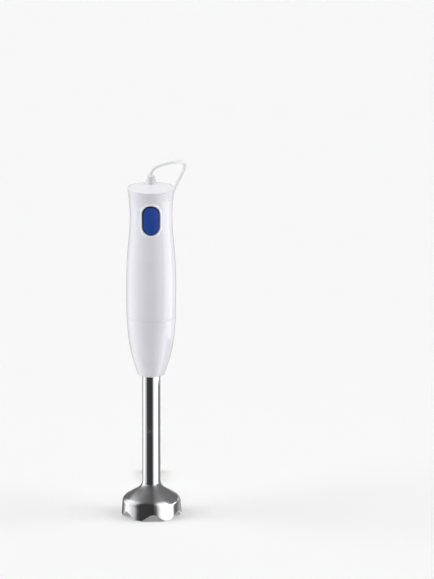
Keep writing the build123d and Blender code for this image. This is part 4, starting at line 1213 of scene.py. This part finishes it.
@dataclass
class BlendingShaft:
    """White cone, polished tube and the polished bell guard with its arched rim."""

    cone_bottom: float = 160.5
    seam: float = 227.5
    guard_top: float = 39.9
    skirt: float = 33.4
    shoulder: float = 31.85
    shoulder_z: float = 19.6
    shoulder_round: float = 9.0
    flare_z: float = 33.1
    flare: float = 12.18
    tube: float = 10.0
    arch_height: float = 7.8
    arch_half_width: float = 16.7
    arch_turn: float = 3.5
    lobe_flat: float = 0.15

    def cone(self) -> bpy.types.Object:
        """White cone: smooth side line, a rounded lower end turned in to the tube, and a thin top step."""
        foot = self.cone_bottom
        side = smooth_line([(14.6, foot), (20.2, 178.0), (24.6, 198.6), (27.1, self.seam)], 100)
        side = side[(side[:, 1] > foot + 3.1) & (side[:, 1] < self.seam - 0.6)]
        end = rounded_line([(10.05, 165.0, 0), (10.05, foot, 0.3), (14.45, foot, 2.4), tuple(side[0]) + (0,)], 10)
        top = np.array([[27.05, self.seam - 0.5], [26.62, self.seam - 0.5], [26.6, self.seam], [24.9, self.seam],
                        [24.7, self.seam - 2.0], [10.3, self.seam - 4.0]])
        piece = lathe("shaft_cone_skin", Look.WHITE, np.concatenate([end[:-1], side, top]))
        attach(piece, "blending_shaft")
        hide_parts("shaft_cone")
        return piece

    def sleeve(self) -> bpy.types.Object:
        """Polished tube, closed on itself as a thin wall."""
        bore = self.tube - 0.8
        line = np.array([[self.tube, self.guard_top], [self.tube, 100.0], [self.tube, 170.0], [self.tube, 216.8],
                         [self.tube - 0.2, 217.0], [bore, 217.0], [bore, self.guard_top],
                         [self.tube, self.guard_top]])
        piece = lathe("shaft_tube", Look.POLISHED, line)
        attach(piece, "blending_shaft")
        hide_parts("steel_tube")
        return piece

    def rim_height(self, angle: np.ndarray, radius: float) -> np.ndarray:
        """Height of the rim at each bearing: a cosine wave across each of six arches, cut level at its lobes.

        Args:
            angle: bearing in radians.
            radius: distance from the axis in millimetres.

        Returns:
            Heights in millimetres.
        """
        pitch = np.pi / 3
        middle = np.radians(30.0 + self.arch_turn)
        across = radius * np.sin((angle - middle + pitch / 2) % pitch - pitch / 2)
        wave = (self.arch_height + self.lobe_flat) / 2 * (1 + np.cos(np.pi * across / self.arch_half_width))
        return np.maximum(wave - self.lobe_flat, 0.0)

    def bell(self) -> bpy.types.Object:
        """Bell guard: outer side line from tube to rim, rolled rim, and the inner wall back up.

        Columns run round the axis. Below a fixed height, each column's points are spread between that height and
        the rim's own height at its bearing.

        Returns:
            The guard.
        """
        outer = rounded_line([(self.tube, self.guard_top, 0), (self.tube, self.flare_z, self.flare),
                              (self.shoulder, self.shoulder_z, self.shoulder_round), (self.skirt, 0.0, 0)], 26)
        inner = rounded_line([(self.skirt - 1.0, 0.0, 0),
                              (self.shoulder - 1.05, self.shoulder_z - 0.52, self.shoulder_round - 1.0),
                              (self.tube - 1.0, self.flare_z - 0.56, self.flare - 0.8),
                              (self.tube - 1.0, self.guard_top, 0)], 12)
        columns, split = 288, 10.0
        angle = np.linspace(0, 2 * np.pi, columns, endpoint=False)
        lean = (self.skirt - self.shoulder) / self.shoulder_z

        def apron(share: np.ndarray, inset: float) -> np.ndarray:
            """Skirt below the split height, down to the rim."""
            radius0 = self.skirt - inset
            height = split + (self.rim_height(angle, radius0) - split) * share[:, None]
            radius = radius0 - lean * height
            return np.stack([radius * np.cos(angle), radius * np.sin(angle), height], axis=-1) / 1000

        upper = outer[outer[:, 1] > split + 0.1]
        upper = densify(np.vstack([upper, [self.skirt - lean * split, split]]), 1.0)
        down = apron(np.linspace(0, 0.97, 16), 0.0)
        up = apron(np.linspace(0.97, 0, 10), 1.0)
        lip_outer = apron(np.array([1.0]), 0.28)
        lip_inner = apron(np.array([1.0]), 0.72)
        back = inner[inner[:, 1] > split + 0.1]
        back = densify(np.vstack([[self.skirt - 1.0 - lean * split, split], back]), 1.5)
        grid = np.concatenate([turned(upper, columns), down[1:], lip_outer, lip_inner, up[:-1],
                               turned(back, columns), turned(upper[:1], columns)])
        bell = Surface()
        bell.grid(grid)
        piece = bell.build("bell_skin", Look.GUARD, crease=60)
        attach(piece, "blending_shaft")
        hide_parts("bell_guard")
        return piece

    def build(self) -> None:
        """Makes the shaft's pieces."""
        for make in (self.cone, self.sleeve, self.bell):
            log.info("%s", make().name)


@dataclass
class CarriedPieces:
    """Every CAD node, with the finish that it takes."""

    looks: dict[Look, tuple[str, ...]] = field(default_factory=lambda: {
        Look.BOOT: ("strain_relief",),
        Look.SHEATH: ("plug_body", "cord_stub", "mains_cord", "cord_coil", "plug_lead"),
        Look.WHITE: ("handle_housing", "shaft_cone", "top_cap"),
        Look.PALE: ("button_bezel",),
        Look.BLUE: ("power_button",),
        Look.POLISHED: ("steel_tube", "bell_guard"),
        Look.BLADE: ("cutting_blade", "blade_nut", "blade_washer", "drive_shaft", "motor_shaft", "retaining_ring"),
        Look.SCREW: ("clamp_screws", "motor_screws", "brush_springs", "lower_bearing"),
        Look.BRASS: ("plug_blades",),
        Look.NYLON: ("coupling_socket", "lock_collar", "drive_claw", "driven_claw", "cooling_fan", "upper_bracket",
                     "lower_bracket", "cord_clamp", "clamp_bridge"),
        Look.GREY_NYLON: ("guard_hub", "brush_holders"),
        Look.BRONZE: ("lower_bush", "middle_bush", "upper_shaft_bush", "upper_bush"),
        Look.RUBBER: ("shaft_seal", "lower_buffer", "upper_buffer"),
        Look.CORE: ("stator_core", "armature_core"),
        Look.COPPER: ("field_coils", "armature_windings", "commutator"),
        Look.CARBON: ("carbon_brushes",),
        Look.BOARD: ("control_board",),
        Look.SWITCH: ("microswitch", "terminal_block"),
        Look.PLUNGER: ("switch_plunger",),
        Look.CAPACITOR: ("suppressor_capacitor",),
        Look.WIRE: ("supply_wires",),
    })

    def build(self) -> None:
        """Puts each finish on its nodes' material slots."""
        for look, names in self.looks.items():
            for name in names:
                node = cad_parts[name]
                if not node.material_slots:
                    node.data.materials.append(look.material())
                for place in node.material_slots:
                    place.material = look.material()
        log.info("finishes on %d nodes", len(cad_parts))


def main() -> None:
    """Builds the studio and the object, piece by piece."""
    logging.basicConfig(level=logging.INFO, format="%(message)s")
    Studio().build()
    MainsCord().build()
    CarriedPieces().build()
    handle = Handle()
    handle.build()
    PressButton(handle).build()
    BlendingShaft().build()


if __name__ == "__main__":
    main()
